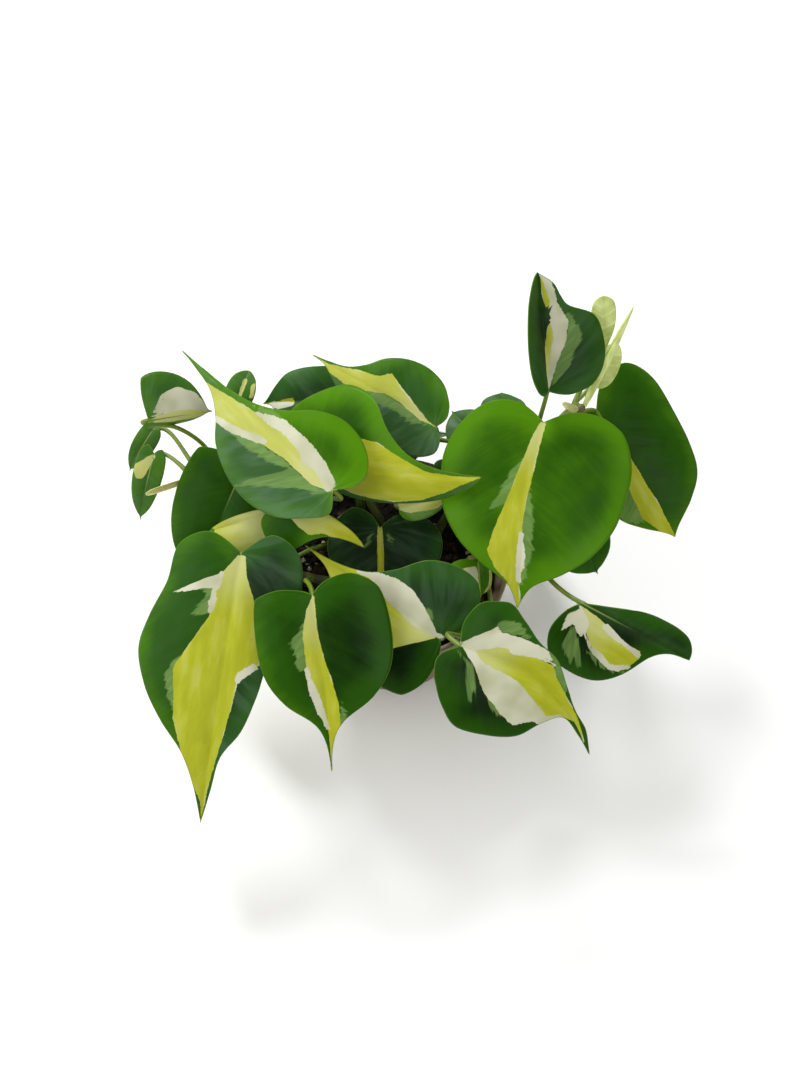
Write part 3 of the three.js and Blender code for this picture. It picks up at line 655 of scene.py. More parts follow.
outlines = {
    "heart": [[0, 0], [0.2, -0.1], [0.56, -0.14], [0.9, -0.01], [1, 0.22],
              [0.91, 0.48], [0.66, 0.7], [0.3, 0.85], [0.07, 0.92], [0, 1]],
    "long": [[0, 0], [0.22, -0.08], [0.6, -0.09], [0.92, 0.04], [1, 0.24],
             [0.86, 0.46], [0.58, 0.64], [0.25, 0.79], [0.06, 0.89], [0, 1]],
    "tailed": [[0, 0], [0.2, -0.1], [0.56, -0.14], [0.9, -0.02], [1, 0.2],
               [0.94, 0.42], [0.66, 0.58], [0.24, 0.7], [0.06, 0.82], [0, 1]],
    "lobed": [[0, 0], [0.25, -0.12], [0.62, -0.15], [0.94, -0.02], [1, 0.13],
              [0.84, 0.3], [0.46, 0.43], [0.2, 0.57], [0.06, 0.76], [0, 1]],
    "broad": [[0, 0], [0.3, -0.14], [0.76, -0.16], [1, 0.02], [0.99, 0.28],
              [0.92, 0.54], [0.78, 0.72], [0.48, 0.84], [0.14, 0.94], [0, 1]],
    "waisted": [[0, 0], [0.44, -0.08], [0.88, -0.02], [1, 0.12], [0.88, 0.25], [0.67, 0.37],
                [0.58, 0.5], [0.43, 0.63], [0.17, 0.74], [0.09, 0.87], [0, 1]],
    "sloped": [[0, 0], [0.28, -0.06], [0.62, 0.02], [0.88, 0.12], [1, 0.26], [0.93, 0.4],
               [0.7, 0.53], [0.38, 0.62], [0.15, 0.73], [0.06, 0.86], [0, 1]],
    "full": [[0, 0], [0.28, -0.1], [0.61, -0.09], [0.87, 0.03], [1, 0.2], [0.98, 0.38],
             [0.9, 0.53], [0.7, 0.68], [0.43, 0.79], [0.13, 0.88], [0, 1]],
    "pear": [[0, 0], [0.36, -0.06], [0.7, 0], [0.77, 0.14], [0.92, 0.27], [1, 0.4],
             [0.84, 0.53], [0.59, 0.64], [0.31, 0.74], [0.13, 0.86], [0, 1]],
    "disc": [[0, 0], [0.3, -0.06], [0.64, -0.05], [0.92, 0.05], [0.99, 0.18], [0.8, 0.29],
             [0.47, 0.38], [0.22, 0.49], [0.08, 0.63], [0.03, 0.8], [0, 1]],
    "wavy": [[0, 0], [0.33, -0.07], [0.78, -0.06], [1, 0.06], [0.78, 0.19], [0.55, 0.32],
             [0.46, 0.46], [0.26, 0.59], [0.12, 0.73], [0.12, 0.87], [0, 1]],
    "hooked": [[0, 0], [0.29, -0.06], [0.58, 0.03], [0.83, 0.14], [1, 0.27], [0.89, 0.43],
               [0.68, 0.55], [0.38, 0.61], [0.1, 0.7], [0.04, 0.85], [0, 1]],
    "blunt": [[0, 0], [0.19, 0.11], [0.38, 0.22], [0.6, 0.34], [0.82, 0.46], [0.96, 0.58],
              [1, 0.7], [0.97, 0.82], [0.8, 0.92], [0.42, 0.98], [0, 1]],
    "notched": [[0, 0], [0.35, -0.08], [0.78, 0.02], [1, 0.2], [1, 0.42],
                [0.86, 0.6], [0.46, 0.7], [0.34, 0.79], [0.24, 0.9], [0, 1]],
    "slim": [[0, 0], [0.3, -0.02], [0.66, 0.04], [0.93, 0.18], [1, 0.36],
             [0.94, 0.56], [0.76, 0.75], [0.5, 0.88], [0.24, 0.96], [0, 1]],
}
# What most leaves share; the left half comes first, seen from above with the tip pointing away.
usual = dict(outline=["heart", "heart"], lobes=[0.75, 0.75], face=[0, -0.5, 0.85], fold=[14, 14],
             curve=[-34, -34], arch=22, sway=0, wave=0.5, waves=2, kind="blade", via=None,
             tone=[0.5, 0.5], bloom=[0, 0], milk=0.08,
             lime=[], cream=[], sage=[])
# lime, cream and sage are the outlines of the markings on the flat blade: millimetres across
# (left of the midrib is minus) and millimetres forward from the petiole.
# bloom is given for each half and paints sheen along with the leaf's own grey-green
leaves = [
    dict(name="leaf_01_front_left", stem="front_left", at=0.97, outline=["waisted", "pear"],
         base=[-59, -18, 102], tip=[-76, -106, 40], left=26, right=36, lobes=[1, 1], fold=[10, 12],
         curve=[-30, -50], arch=20, wave=1, tone=[-0.05, 0.36], bloom=[0.3, 0.05],
         lime=[[(1, 1), (6, 9), (8, 17), (8, 26), (13, 36), (19, 48), (16, 68), (9, 86), (1, 100),
                (0, 109), (-1, 95), (-4, 75), (-6, 60), (-7, 48), (-14, 42), (-14, 31), (-9, 19), (-4, 9),
                (-2, 1)]],
         cream=[[(6, 9), (12, 12), (19, 16), (27, 20), (19, 18), (12, 16), (7, 15)],
                [(8, 17), (10, 21), (8, 24), (7, 19)],
                [(-7, 49), (-7, 47), (-12, 43), (-13, 44), (-9, 48)]],
         sage=[[(7, 14), (14, 15), (11, 18), (11, 20), (15, 27), (7, 25), (8, 17)],
               [(16, 41), (20, 46), (22, 52), (20, 59), (16, 65), (17, 48)]]),
    dict(name="leaf_02_front_heart", stem="front_left", at=0.8, outline=["tailed", "tailed"],
         base=[-30, -39, 106], tip=[-23, -93, 62], left=28, right=24, lobes=[0.7, 0.3], fold=[14, 16],
         curve=[-34, -40], arch=16, sway=-1, tone=[0.15, 0.3],
         lime=[[(0, 0), (3, 5), (6, 15), (6, 27), (5, 38), (1, 49), (0, 56), (0, 70), (-1, 61), (-5, 51),
                (-5, 42), (-3, 32), (-1, 23), (0, 13), (-1, 1)]],
         cream=[[(6, 28), (5, 38), (4, 45), (0, 52), (2, 44), (3, 39), (6, 30)]],
         sage=[[(4, 9), (11, 17), (10, 16), (10, 20), (10, 25), (9, 28), (6, 28), (5, 15)],
               [(-6, 40), (-7, 44), (-8, 48), (-4, 52), (-3, 55), (-5, 47)]]),
    dict(name="leaf_03_front_splash", stem="front_right", at=0.75, outline=["tailed", "lobed"],
         base=[19, -50, 91], tip=[-35, -10, 95], left=31, right=27, lobes=[0.5, 0.6], fold=[-8, 22],
         curve=[-20, -40], arch=30, wave=0.8, tone=[-0.05, 0.0], bloom=[0, 0.22],
         lime=[[(1, 0), (-15, 14), (-20, 25), (-14, 42), (-3, 62), (0, 67), (3, 54), (4, 41), (5, 35),
                (2, 28), (1, 20), (-1, 12), (0, 4)]],
         cream=[[(1, 0), (0, 4), (-1, 12), (1, 20), (2, 28), (5, 35), (4, 41), (8, 34), (10, 26),
                 (10, 19), (7, 12), (4, 7), (1, 2)]],
         sage=[[(7, 12), (7, 9), (5, 7), (3, 8), (5, 11)]]),
    dict(name="leaf_04_front_right", stem="right", at=0.3, outline=["wavy", "hooked"],
         base=[26, -59, 103], tip=[77, -87, 65], left=23, right=31, lobes=[1, 1], fold=[8, 14],
         curve=[-40, -30], arch=24, sway=-9, wave=1, via=[[40, -26, 79], [35, -48, 88]],
         tone=[0.1, -0.05], bloom=[0.05, 0], milk=0.05,
         lime=[[(-0.1, 4), (-4.8, 10), (-6.7, 16), (-4.7, 16), (-6.8, 22), (-8, 32), (-5, 36), (-2.6, 46),
                (-2, 55), (0.2, 64), (0.2, 54), (3.1, 48), (8.7, 43), (8, 34), (5.5, 25), (5.3, 16),
                (4, 9)]],
         cream=[[(-1, -1), (-9.9, 5), (-12.7, 6), (-10.2, 8), (-11.4, 18), (-11.4, 26), (-9, 32),
                 (-7.6, 24), (-4.7, 16), (-6.7, 16), (-4.8, 10), (-0.1, 4)],
                [(-1, -1), (5.8, 8), (13.5, 17), (18.7, 27), (19, 34), (13.9, 39), (10.5, 45), (4.3, 47),
                 (8.7, 43), (8, 34), (5.5, 25), (5.3, 16), (4, 9), (-0.1, 4)]],
         sage=[[(2, 0), (6.3, 6), (17, 14), (19.3, 16), (13, 14), (5.6, 7)],
               [(13.5, 17), (17.1, 21), (19.8, 28), (17.8, 28)],
               [(-13.7, 6), (-16, 9), (-16.4, 12), (-12.4, 18), (-10.2, 8)],
               [(-12.4, 26), (-11, 32), (-6.2, 41), (-3.3, 43), (-5, 36), (-8, 32)]]),
    dict(name="leaf_05_right_heart", stem="right_back", at=0.6, outline=["full", "full"],
         base=[61, 31, 122], tip=[50, -34, 86], left=39, right=37, lobes=[0.7, 0.9], fold=[10, 6],
         curve=[-26, -36], arch=16, sway=2, tone=[0.66, 0.74],
         lime=[[(-1, 0), (1.5, 0), (3.5, 7), (5, 15), (7, 26), (9, 34), (12, 45), (14, 54), (10, 61),
                (5, 65), (0, 78), (-1, 71), (0, 67), (1, 56), (1, 45), (1, 33), (0, 25), (0, 17),
                (-0.5, 8)]],
         cream=[[(1, 46), (-1, 52), (-1.5, 58), (0, 64), (1, 63), (1, 55)]],
         sage=[[(1, 25), (-2.5, 36), (-4, 51), (-2, 64), (1, 67), (2, 56), (3, 45), (3, 33)],
               [(3, 13), (9, 21), (12, 31), (14, 37), (9, 34), (6, 26)]]),
    dict(name="leaf_06_right_hanging", stem="right_back", at=0.95, outline=["broad", "broad"],
         base=[86, 49, 107], tip=[121, 8, 72], left=29, right=21, lobes=[1, 0.5], fold=[6, -18],
         curve=[-30, -10], arch=20, tone=[0.32, 0.5],
         lime=[[(-1, 20), (5, 28), (7, 40), (8, 50), (4, 60), (0, 66), (-1, 50), (-1, 36)]],
         sage=[[(5, 30), (15, 32), (18, 40), (14, 50), (8, 52), (6, 42)]]),
    dict(name="leaf_07_upright", stem="right_back", at=0.78, outline=["slim", "notched"],
         base=[63, 42, 128], tip=[57, 74, 162], left=15, right=24, lobes=[1, 0.6], fold=[62, 10],
         curve=[-10, -30], arch=10, tone=[0.1, 0.05], bloom=[0.1, 0.15],
         cream=[[(0, 0), (1, 6), (3, 14), (5, 22), (4, 28), (3, 31), (5, 35), (4, 40), (1, 48), (5, 42),
                 (7, 33), (10, 27), (8, 18), (4, 11), (1, 2)]],
         lime=[[(0, 2), (1, 6), (3, 14), (5, 22), (4, 28), (2, 26), (0, 18), (-1, 8)],
               [(2, 33), (5, 35), (4, 40), (1, 46), (1, 38)]],
         sage=[[(10, 30), (13, 26), (15, 20), (10, 13), (9, 9), (1, 1), (4, 11), (8, 18), (10, 27)]]),
    dict(name="leaf_08_left_large", stem="left", at=0.18, outline=["sloped", "disc"], base=[-23, 1, 118],
         tip=[-88, 69, 122], left=27, right=24, lobes=[1, 1], fold=[4, 10], curve=[-30, -40], arch=20,
         via=[[-31, 11, 84], [-28, 8, 102]], tone=[0.42, 0.72], bloom=[0.5, 0], milk=0.5,
         lime=[[(-1, 0), (-4, 8), (-4, 23), (-6, 37), (-10, 48), (-11, 58), (-5, 72), (0, 94), (-3, 75),
                (-1, 62), (2, 45), (7, 33), (7, 22), (6, 10), (2, 1)]],
         cream=[[(-11, 58), (-9, 49), (-6, 41), (-4, 34), (-6, 37), (-10, 48)],
                [(2, 45), (7, 33), (7, 20), (5, 9), (2, 1), (-1, 1), (2, 11), (0, 16), (3, 20), (4, 31),
                 (3, 38)]],
         sage=[[(-11, 50), (-11, 38), (-8, 24), (-4, 14), (-4, 23), (-6, 37)],
               [(-2, 1), (-3, 9), (-5, 17), (-9, 20), (-14, 24), (-20, 29), (-26, 33), (-21, 27),
                (-15, 19), (-9, 10), (-5, 3)],
               [(3, 49), (7, 40), (7, 32), (4, 40)]]),
    dict(name="leaf_09_middle_lime", stem="middle", at=0.75, outline=["lobed", "slim"],
         base=[-29, 22, 106], tip=[35, 5, 121], left=34, right=14, lobes=[1.8, 0.3], fold=[10, -14],
         curve=[-34, -30], arch=20, sway=1, tone=[0.62, 0.3], bloom=[0, 0.3],
         lime=[[(-12, 17), (-11, 25), (-5, 37), (-1, 46), (0, 58), (0, 68), (3, 62), (7, 54), (11, 44),
                (12.6, 34), (12.6, 24), (11, 14), (8, 7), (1, 1), (-10, 0), (-13, 10)]]),
    dict(name="leaf_10_back_lime", stem="back", at=0.8, outline=["long", "sloped"], base=[18, 38, 110],
         tip=[-34, 75, 112], left=17, right=20, lobes=[0.9, 0.6], fold=[0, 10], curve=[-30, -34], arch=16,
         tone=[0.35, 0.4], bloom=[0.75, 0.12], milk=0.3,
         lime=[[(0, 0), (1, 5), (4, 14), (7, 22), (10, 28), (6, 32), (4, 41), (0, 55), (0, 64), (-3, 53),
                (-4, 44), (-3, 35), (1, 26), (1, 17), (-1, 7)]],
         sage=[[(-3, 36), (1, 26), (1, 17), (-1, 2), (-4, 10), (-3, 18), (-5, 30)]]),
    dict(name="leaf_11_back_dark", stem="back_left", at=0.9, outline=["heart", "broad"],
         base=[-19, 67, 90], tip=[-57, 66, 90], left=13, right=17, face=[0, -0.3, 0.95], tone=[0.25, 0.2],
         bloom=[0.35, 0.3], cream=[[(-3, 28), (-1, 25), (0, 33), (-2, 36)]],
         lime=[[(0, 38), (-3, 32), (-1, 24), (2, 24), (1, 30)]]),
    dict(name="leaf_12_left_dark", stem="left", at=0.55, base=[-62, 30, 94], tip=[-84, -14, 64], left=22,
         right=24, lobes=[0.6, 0.2], face=[-0.1, -0.5, 0.85], curve=[-40, -40], tone=[0.25, 0.25]),
    # this leaf's tone, darker than the rest, paints in the shade it lies in under the leaves above
    dict(name="leaf_13_low_middle", stem="front_left", at=0.35, outline=["heart", "tailed"],
         base=[-5, 6, 82], tip=[-4, -27, 75], left=26, right=22, lobes=[1.3, 2.1], face=[0, -0.3, 0.95],
         fold=[8, 8], curve=[-20, -20], arch=10, tone=[-0.3, -0.3], bloom=[0.2, 0.2], milk=-0.6,
         lime=[[(-1, -1), (1, -1), (1.5, 12), (1.2, 26), (-1, 26), (-1.5, 12)]],
         sage=[[(3, 2), (6, 5), (7, 9), (4, 6)], [(-3, 2), (-5, 6), (-6, 9), (-3, 6)]]),
    dict(name="leaf_14_under_left", stem="left", at=0.36, outline=["slim", "lobed"], base=[-42, 1, 107],
         tip=[-11, -13, 98], left=5, right=17, lobes=[0.75, 1.2], fold=[10, 2], curve=[-20, -24],
         tone=[0.5, 0.4],
         lime=[[(-6, 2), (-1, 0), (3, 2), (5, 8), (6, 14), (3, 18), (2, 26), (0, 36), (-4, 28),
                (-6, 12)]],
         sage=[[(-5, 10), (-2, 12), (-1, 24), (-4, 24)]]),
    dict(name="leaf_15_small_lime", stem="left", at=0.45, outline=["heart", "slim"], base=[-50, 3, 98],
         tip=[-75, 0, 89], left=15, right=3, tone=[0.8, 0.8], milk=0.2,
         lime=[[(-18, -6), (8, -6), (8, 20), (3, 26), (0, 24), (-8, 26), (-18, 14)]]),
    dict(name="leaf_16_young_curled", stem="right", at=0.5, base=[35, -14, 88], tip=[36, -27, 82], left=8,
         right=12, fold=[20, 10], curve=[70, -20], arch=30, tone=[0.5, 0.45],
         lime=[[(1, 2), (6, 2), (11, 5), (8, 10), (3, 15), (0, 12)],
               [(-6, -1), (-9, 3), (-8, 9), (-2, 15), (-1, 13), (-5, 9), (-6, 4)]],
         cream=[[(2, 3), (7, 4), (6, 9), (2, 12)]]),
    dict(name="leaf_17_right_low", stem="right", at=0.95, outline=["blunt", "tailed"], base=[75, -35, 92],
         tip=[118, -52, 76], left=10, right=28, lobes=[0.4, 0.9], fold=[10, -6], curve=[-60, -30],
         arch=10, tone=[-0.1, -0.05], bloom=[0.05, 0],
         lime=[[(1, 0), (2, 8), (6, 20), (8, 31), (14, 29), (18, 23), (15, 13), (9, 6)]],
         cream=[[(2, 0), (7, -3), (15, -2), (9, 1), (12, 4), (12, 7), (6, 5)],
                [(12, 9), (17, 16), (18, 26), (14, 29), (18, 23), (14, 12)],
                [(4, 12), (6, 24), (6, 30), (8, 30), (6, 20)]],
         sage=[[(16, 10), (20, 20), (18, 28), (16, 30), (19, 23), (16, 13)],
               [(10, 1), (18, 1), (26, 9), (21, 8), (24, 13), (14, 7)]]),
    dict(name="leaf_18_far_left", stem="left", at=0.84, base=[-99, 37, 116], tip=[-75, 47, 109], left=19,
         right=11, lobes=[0.3, 0.75], fold=[20, -70], curve=[-30, -20], arch=20,
         via=[[-80, 41, 92], [-90, 42, 104]], tone=[0.4, 0.6], bloom=[0.3, 0], milk=0.4,
         lime=[[(0, 1), (-3, 10), (-2, 20), (0, 27), (4, 20), (5, 10), (3, 2)]],
         cream=[[(-2, 2), (-9, 6), (-12, 13), (-9, 19), (-1, 26), (-3, 16), (-3, 9)]]),
    dict(name="leaf_19_far_left_hanging", stem="left", at=0.93, base=[-103, 48, 94], tip=[-117, 43, 71],
         left=5, right=5, tone=[0.35, 0.4], bloom=[0.3, 0.2]),
    dict(name="leaf_20_far_left_low", stem="left", at=0.99, base=[-102, 38, 90], tip=[-112, 24, 60],
         left=6, right=7, tone=[0.5, 0.4], bloom=[0.25, 0.25],
         lime=[[(8, 8), (0, -1), (-1, 0), (2, 12), (5, 13)]]),
    dict(name="leaf_21_back_left_small", stem="back_left", at=0.95, outline=["slim", "slim"],
         base=[-67, 59, 98], tip=[-62, 73, 104], left=7, right=6, tone=[0.4, 0.4], bloom=[0.4, 0.4],
         lime=[[(-1, 0), (1, 0), (1, 12), (-1, 12)], [(4, 4), (6, 5), (5, 12), (3, 10)]]),
    dict(name="leaf_22_back_small", stem="back", at=0.95, base=[38, 42, 92], tip=[26, 62, 90], left=11,
         right=11, tone=[0.4, 0.4], bloom=[0.7, 0.7], sage=[[(2, 1), (7, 4), (6, 9), (2, 6)]]),
    dict(name="leaf_23_back_right_small", stem="right_back", at=0.4, outline=["broad", "broad"],
         base=[48, 44, 98], tip=[48, 69, 94], left=11, right=11, tone=[0.4, 0.4], bloom=[0.6, 0.6]),
    dict(name="leaf_24_right_under", stem="right", at=0.75, base=[73, 4, 90], tip=[87, -8, 68], left=14,
         right=14, tone=[0.2, 0.2]),
    dict(name="leaf_25_middle_low", stem="back", at=0.5, outline=["slim", "slim"], base=[3, 11, 90],
         tip=[23, 18, 88], left=7, right=7, tone=[0.8, 0.8],
         lime=[[(-8, 2), (0, -2), (3, 4), (4, 14), (0, 26), (-8, 18)]],
         sage=[[(2, 2), (7, 6), (6, 20), (2, 24)]]),
    dict(name="leaf_26_middle_back", stem="back", at=0.6, base=[26, 36, 84], tip=[19, 20, 77], left=9,
         right=8, tone=[0.1, 0.1], bloom=[0.2, 0.2]),
    dict(name="leaf_27_young_upright", stem="right_back", at=0.98, outline=["blunt", "blunt"],
         base=[85, 57, 128], tip=[85, 73, 150], left=5, right=5, lobes=[0, 0], kind="young"),
    dict(name="leaf_28_young_side", stem="right_back", at=0.9, outline=["slim", "slim"],
         base=[84, 55, 116], tip=[93, 66, 130], left=6, right=6, kind="young"),
    dict(name="leaf_29_back_hanging", stem="back", at=0.75, base=[4, 56, 82], tip=[2, 82, 34], left=23,
         right=24, face=[0, 0.8, 0.6], tone=[0.6, 0.5],
         lime=[[(-2, 0), (-7, 10), (-11, 24), (-8, 38), (-1, 54), (0, 42), (3, 28), (2, 12)]],
         cream=[[(-7, 11), (-11, 24), (-9, 34), (-13, 26), (-12, 17)]],
         sage=[[(3, 12), (8, 20), (10, 30), (5, 36), (3, 26)]]),
    dict(name="leaf_30_back_left_hanging", stem="back_left", at=0.65, base=[-38, 52, 78],
         tip=[-54, 70, 34], left=20, right=21, face=[-0.4, 0.7, 0.6], tone=[0.55, 0.45],
         sage=[[(0, 4), (6, 14), (12, 24), (8, 34), (3, 26)]],
         lime=[[(0, 6), (4, 20), (5, 34), (1, 44), (0, 30)]]),
    dict(name="leaf_31_back_right_hanging", stem="back", at=0.5, base=[40, 52, 80], tip=[52, 72, 34],
         left=20, right=21, face=[0.4, 0.7, 0.6], tone=[0.45, 0.6],
         lime=[[(1, 1), (8, 8), (15, 16), (14, 28), (7, 40), (0, 50), (-2, 36), (-1, 14)]],
         cream=[[(8, 8), (16, 14), (18, 24), (14, 34), (15, 24), (12, 15)]],
         sage=[[(-2, 10), (-7, 16), (-9, 26), (-3, 34)]]),
    dict(name="leaf_32_right_side_hanging", stem="right", at=0.6, base=[72, 24, 92], tip=[94, 34, 44],
         left=20, right=19, face=[0.8, 0.2, 0.5], tone=[0.55, 0.55],
         lime=[[(-1, 0), (-8, 12), (-6, 28), (-2, 44), (0, 52), (1, 30), (1, 12)]],
         sage=[[(-8, 12), (-12, 20), (-8, 32), (-6, 24)]]),
    dict(name="leaf_33_left_side_hanging", stem="left", at=0.2, lobes=[0.4, 0.4],
         base=[-57.4, -15.2, 73.3], tip=[-74, -26, 32], left=17, right=17, face=[-0.8, -0.3, 0.5],
         tone=[0.45, 0.5], lime=[[(0, 2), (3, 12), (6, 24), (3, 36), (0, 44), (-2, 30), (-2, 14)]],
         cream=[[(3, 12), (6, 24), (4, 33), (8, 26), (7, 18)]]),
    dict(name="leaf_34_front_low_left", stem="front_left", at=0.5, lobes=[0.2, 0.2], base=[-34, -48, 78],
         tip=[-34, -62, 46], left=14, right=15, face=[-0.2, -0.8, 0.5], tone=[0.3, 0.3]),
    dict(name="leaf_35_front_low_right", stem="front_right", at=0.45, lobes=[0.3, 0.3],
         base=[40, -45, 78], tip=[50, -60, 42], left=14, right=14, face=[0.2, -0.8, 0.5],
         tone=[0.35, 0.3], lime=[[(-1, 0), (-4, 12), (-3, 26), (0, 38), (1, 22), (1, 8)]]),
]
blade = dict(thickness=0.42, sheathThickness=0.25, cell=1.15, halfColumns=(9, 26), rows=(26, 84),
             rowShare=1.15, lobeEnd=0.26, rootPower=1.15, veins=7.5, sweep=0.6, bend=0.006, fan=24,
             groove=0.1, grooveSharp=8, swell=0.1, swellPower=0.8, ripple=0.6, quickShare=0.35,
             waves=((0.055, 0), (0.16, 7)), fullWidth=36, midribDip=0.14, midribHalf=1.1,
             sideReach=4, unmarked=-30.0)
petiole = dict(radius=1.1, sides=12, slant=45, seatGap=0.3, steps=36, near=0.4, bentSteps=44,
               bentNear=0.15, arrive=(0.6, 0.8), tuck=(1.6, 0.2), clasp=(1.5, 1.45), slim=0.86,
               footSwell=0.5, footFade=9, tipSwell=0.16, tipFade=12, ribSteps=14, ribStart=0.03,
               ribReach=0.86, ribSink=0.42, ribGap=0.1, ribWidth=0.62, ribTaper=0.5)
# the values that each point of a blade carries for its finish
attributeNames = ["lime", "cream", "sage", "edge", "tone", "bloom", "milk", "seed", "reach", "midrib",
                  "rib"]


def bladeFrame(leaf):
    along = Vector(leaf["tip"]) - Vector(leaf["base"])
    length = along.length
    along.normalize()
    up = Vector(leaf["face"])
    up = (up - along * up.dot(along)).normalized()
    return dict(base=Vector(leaf["base"]), along=along, up=up, across=along.cross(up), length=length)


def veinRoot(s):
    # where on the midrib the blade's row at s sets out
    lobeEnd = blade["lobeEnd"]
    return max(0.0, (s - lobeEnd) / (1 - lobeEnd)) ** blade["rootPower"]


def veinStart(across, forward):
    # how far on a side vein starts: some fan out of the petiole, others leave the midrib and sweep forward
    out = abs(across)
    level = forward - blade["bend"] * out ** 2
    ahead = level - blade["sweep"] * out
    if ahead < 0:
        ahead = blade["fan"] * (math.atan2(level, out) - math.atan(blade["sweep"]))
    return ahead


def flatPoint(leaf, length, side, s, r):
    # millimetres across and forward on the flat blade, and the outline's share of the half's width
    half = 0 if side < 0 else 1
    x, y = smoothPoint(outlines[leaf["outline"][half]], s)
    ahead = y * leaf["lobes"][half] if y < 0 else y
    t = veinRoot(s) * (1 - r) + ahead * r
    return side * leaf[("left", "right")[half]] * x * r, t * length, x * r


def veinPhase(across, forward, length):
    return math.cos(2 * math.pi * blade["veins"] * veinStart(across, forward) / length)


def relief(leaf, across, forward, length, r):
    # the blade swells between its side veins, which lie a little sunk, and waves gently
    phase = veinPhase(across, forward, length)
    inside = math.sin(math.pi * min(1.0, r) ** blade["swellPower"])
    groove = blade["groove"] * max(0.0, phase) ** blade["grooveSharp"]
    height = inside * (blade["swell"] * (1 - phase) / 2 - groove)
    slow, quick = (noise.noise(Vector((across * pace, forward * pace, leaf["seed"] + shift)))
                   for pace, shift in blade["waves"])
    size = min(1.0, (leaf["left"] + leaf["right"]) / blade["fullWidth"])
    dip = blade["midribDip"] * math.exp(-(across / blade["midribHalf"]) ** 2)
    return size * (height + r * blade["ripple"] * (slow + blade["quickShare"] * quick)) - dip


def bladePoint(leaf, shape, side, s, r):
    half = 0 if side < 0 else 1
    width, length = leaf[("left", "right")[half]], shape["length"]
    across, forward, out = flatPoint(leaf, length, side, s, r)
    t = forward / length
    lift = math.radians(leaf["fold"][half] + 0.5 * leaf["curve"][half] * out)
    ripple = leaf["wave"] * out * r * math.sin(2 * math.pi * leaf["waves"] * s + side)
    ripple += relief(leaf, across, forward, length, r)
    x = side * width * out * math.cos(lift)
    z = width * out * math.sin(lift) + ripple
    bend = math.radians(leaf["arch"])
    slope = bend * (0.5 - t)
    reach = length / 2 * (1 - math.sin(slope) / math.sin(bend / 2))
    rise = length / 2 * (math.cos(slope) - math.cos(bend / 2)) / math.sin(bend / 2)
    bow = leaf["sway"] * math.sin(math.pi * max(0.0, t))
    place = shape["base"] + shape["along"] * (reach - z * math.sin(slope))
    return place + shape["up"] * (rise + z * math.cos(slope)) + shape["across"] * (x + bow)


def depthInside(points, outline):
    # how far each flat point lies inside a closed outline, minus outside it
    corners = np.array(outline, float)
    nearest = np.full(len(points), 1e9)
    inside = np.zeros(len(points), bool)
    for a, b in zip(corners, np.roll(corners, -1, axis=0)):
        run = b - a
        share = np.clip(((points - a) @ run) / max(run @ run, 1e-9), 0, 1)
        gap = np.linalg.norm(points - (a + share[:, None] * run), axis=1)
        nearest = np.minimum(nearest, gap)
        if a[1] != b[1]:
            spans = (a[1] > points[:, 1]) != (b[1] > points[:, 1])
            cross = a[0] + (points[:, 1] - a[1]) * run[0] / run[1]
            inside ^= spans & (points[:, 0] < cross)
    return np.where(inside, nearest, -nearest)


def marginOutline(leaf, length, steps=60):
    rows = [k / steps for k in range(steps + 1)]
    right = [flatPoint(leaf, length, 1, s, 1)[:2] for s in rows]
    left = [flatPoint(leaf, length, -1, s, 1)[:2] for s in reversed(rows)]
    return right + left[1:-1]


def petioleRoute(leaf, shape):
    # out of the stem and in under the blade, past any places that the leaf names
    start, upStem = placeOn(stemRoutes[leaf["stem"]], leaf["at"])
    aim = Vector(leaf["via"][0]) if leaf["via"] else shape["base"]
    outward = aim - start
    outward = (outward - upStem * outward.dot(upStem)).normalized()
    slant = math.radians(petiole["slant"])
    clear = stem["radius"] + petiole["seatGap"] + petiole["radius"] * math.sin(slant)
    foot = start + outward * clear
    leaving = outward * math.cos(slant) + upStem * math.sin(slant)
    ahead, rise = petiole["arrive"]
    arriving = shape["along"] * ahead + shape["up"] * rise
    ahead, below = petiole["tuck"]
    end = shape["base"] + shape["along"] * ahead - shape["up"] * below
    reach = (foot - end).length
    if leaf["via"]:
        near = petiole["bentNear"] * reach
        knots = [foot, foot + leaving * near] + leaf["via"] + [end - arriving * near, end]
        return start, curveThrough(knots, petiole["bentSteps"])
    near = petiole["near"] * reach
    handles = [foot, foot + leaving * near, end - arriving * near, end]
    return start, [Vector(p) for p in interpolate_bezier(*handles, petiole["steps"])]


def gridPlace(v):
    # which half of the blade a grid point is on, how far along, and how far out from the midrib
    return (-1 if v.co.x < 0 else 1), (v.co.y + 1) / 2, abs(v.co.x)


def gridSize(leaf, length):
    # columns and rows, for cells of about a millimetre
    low, high = blade["halfColumns"]
    half = max(low, min(high, round((leaf["left"] + leaf["right"]) / blade["cell"] / 2)))
    low, high = blade["rows"]
    return 2 * half, max(low, min(high, round(length / blade["cell"] * blade["rowShare"])))


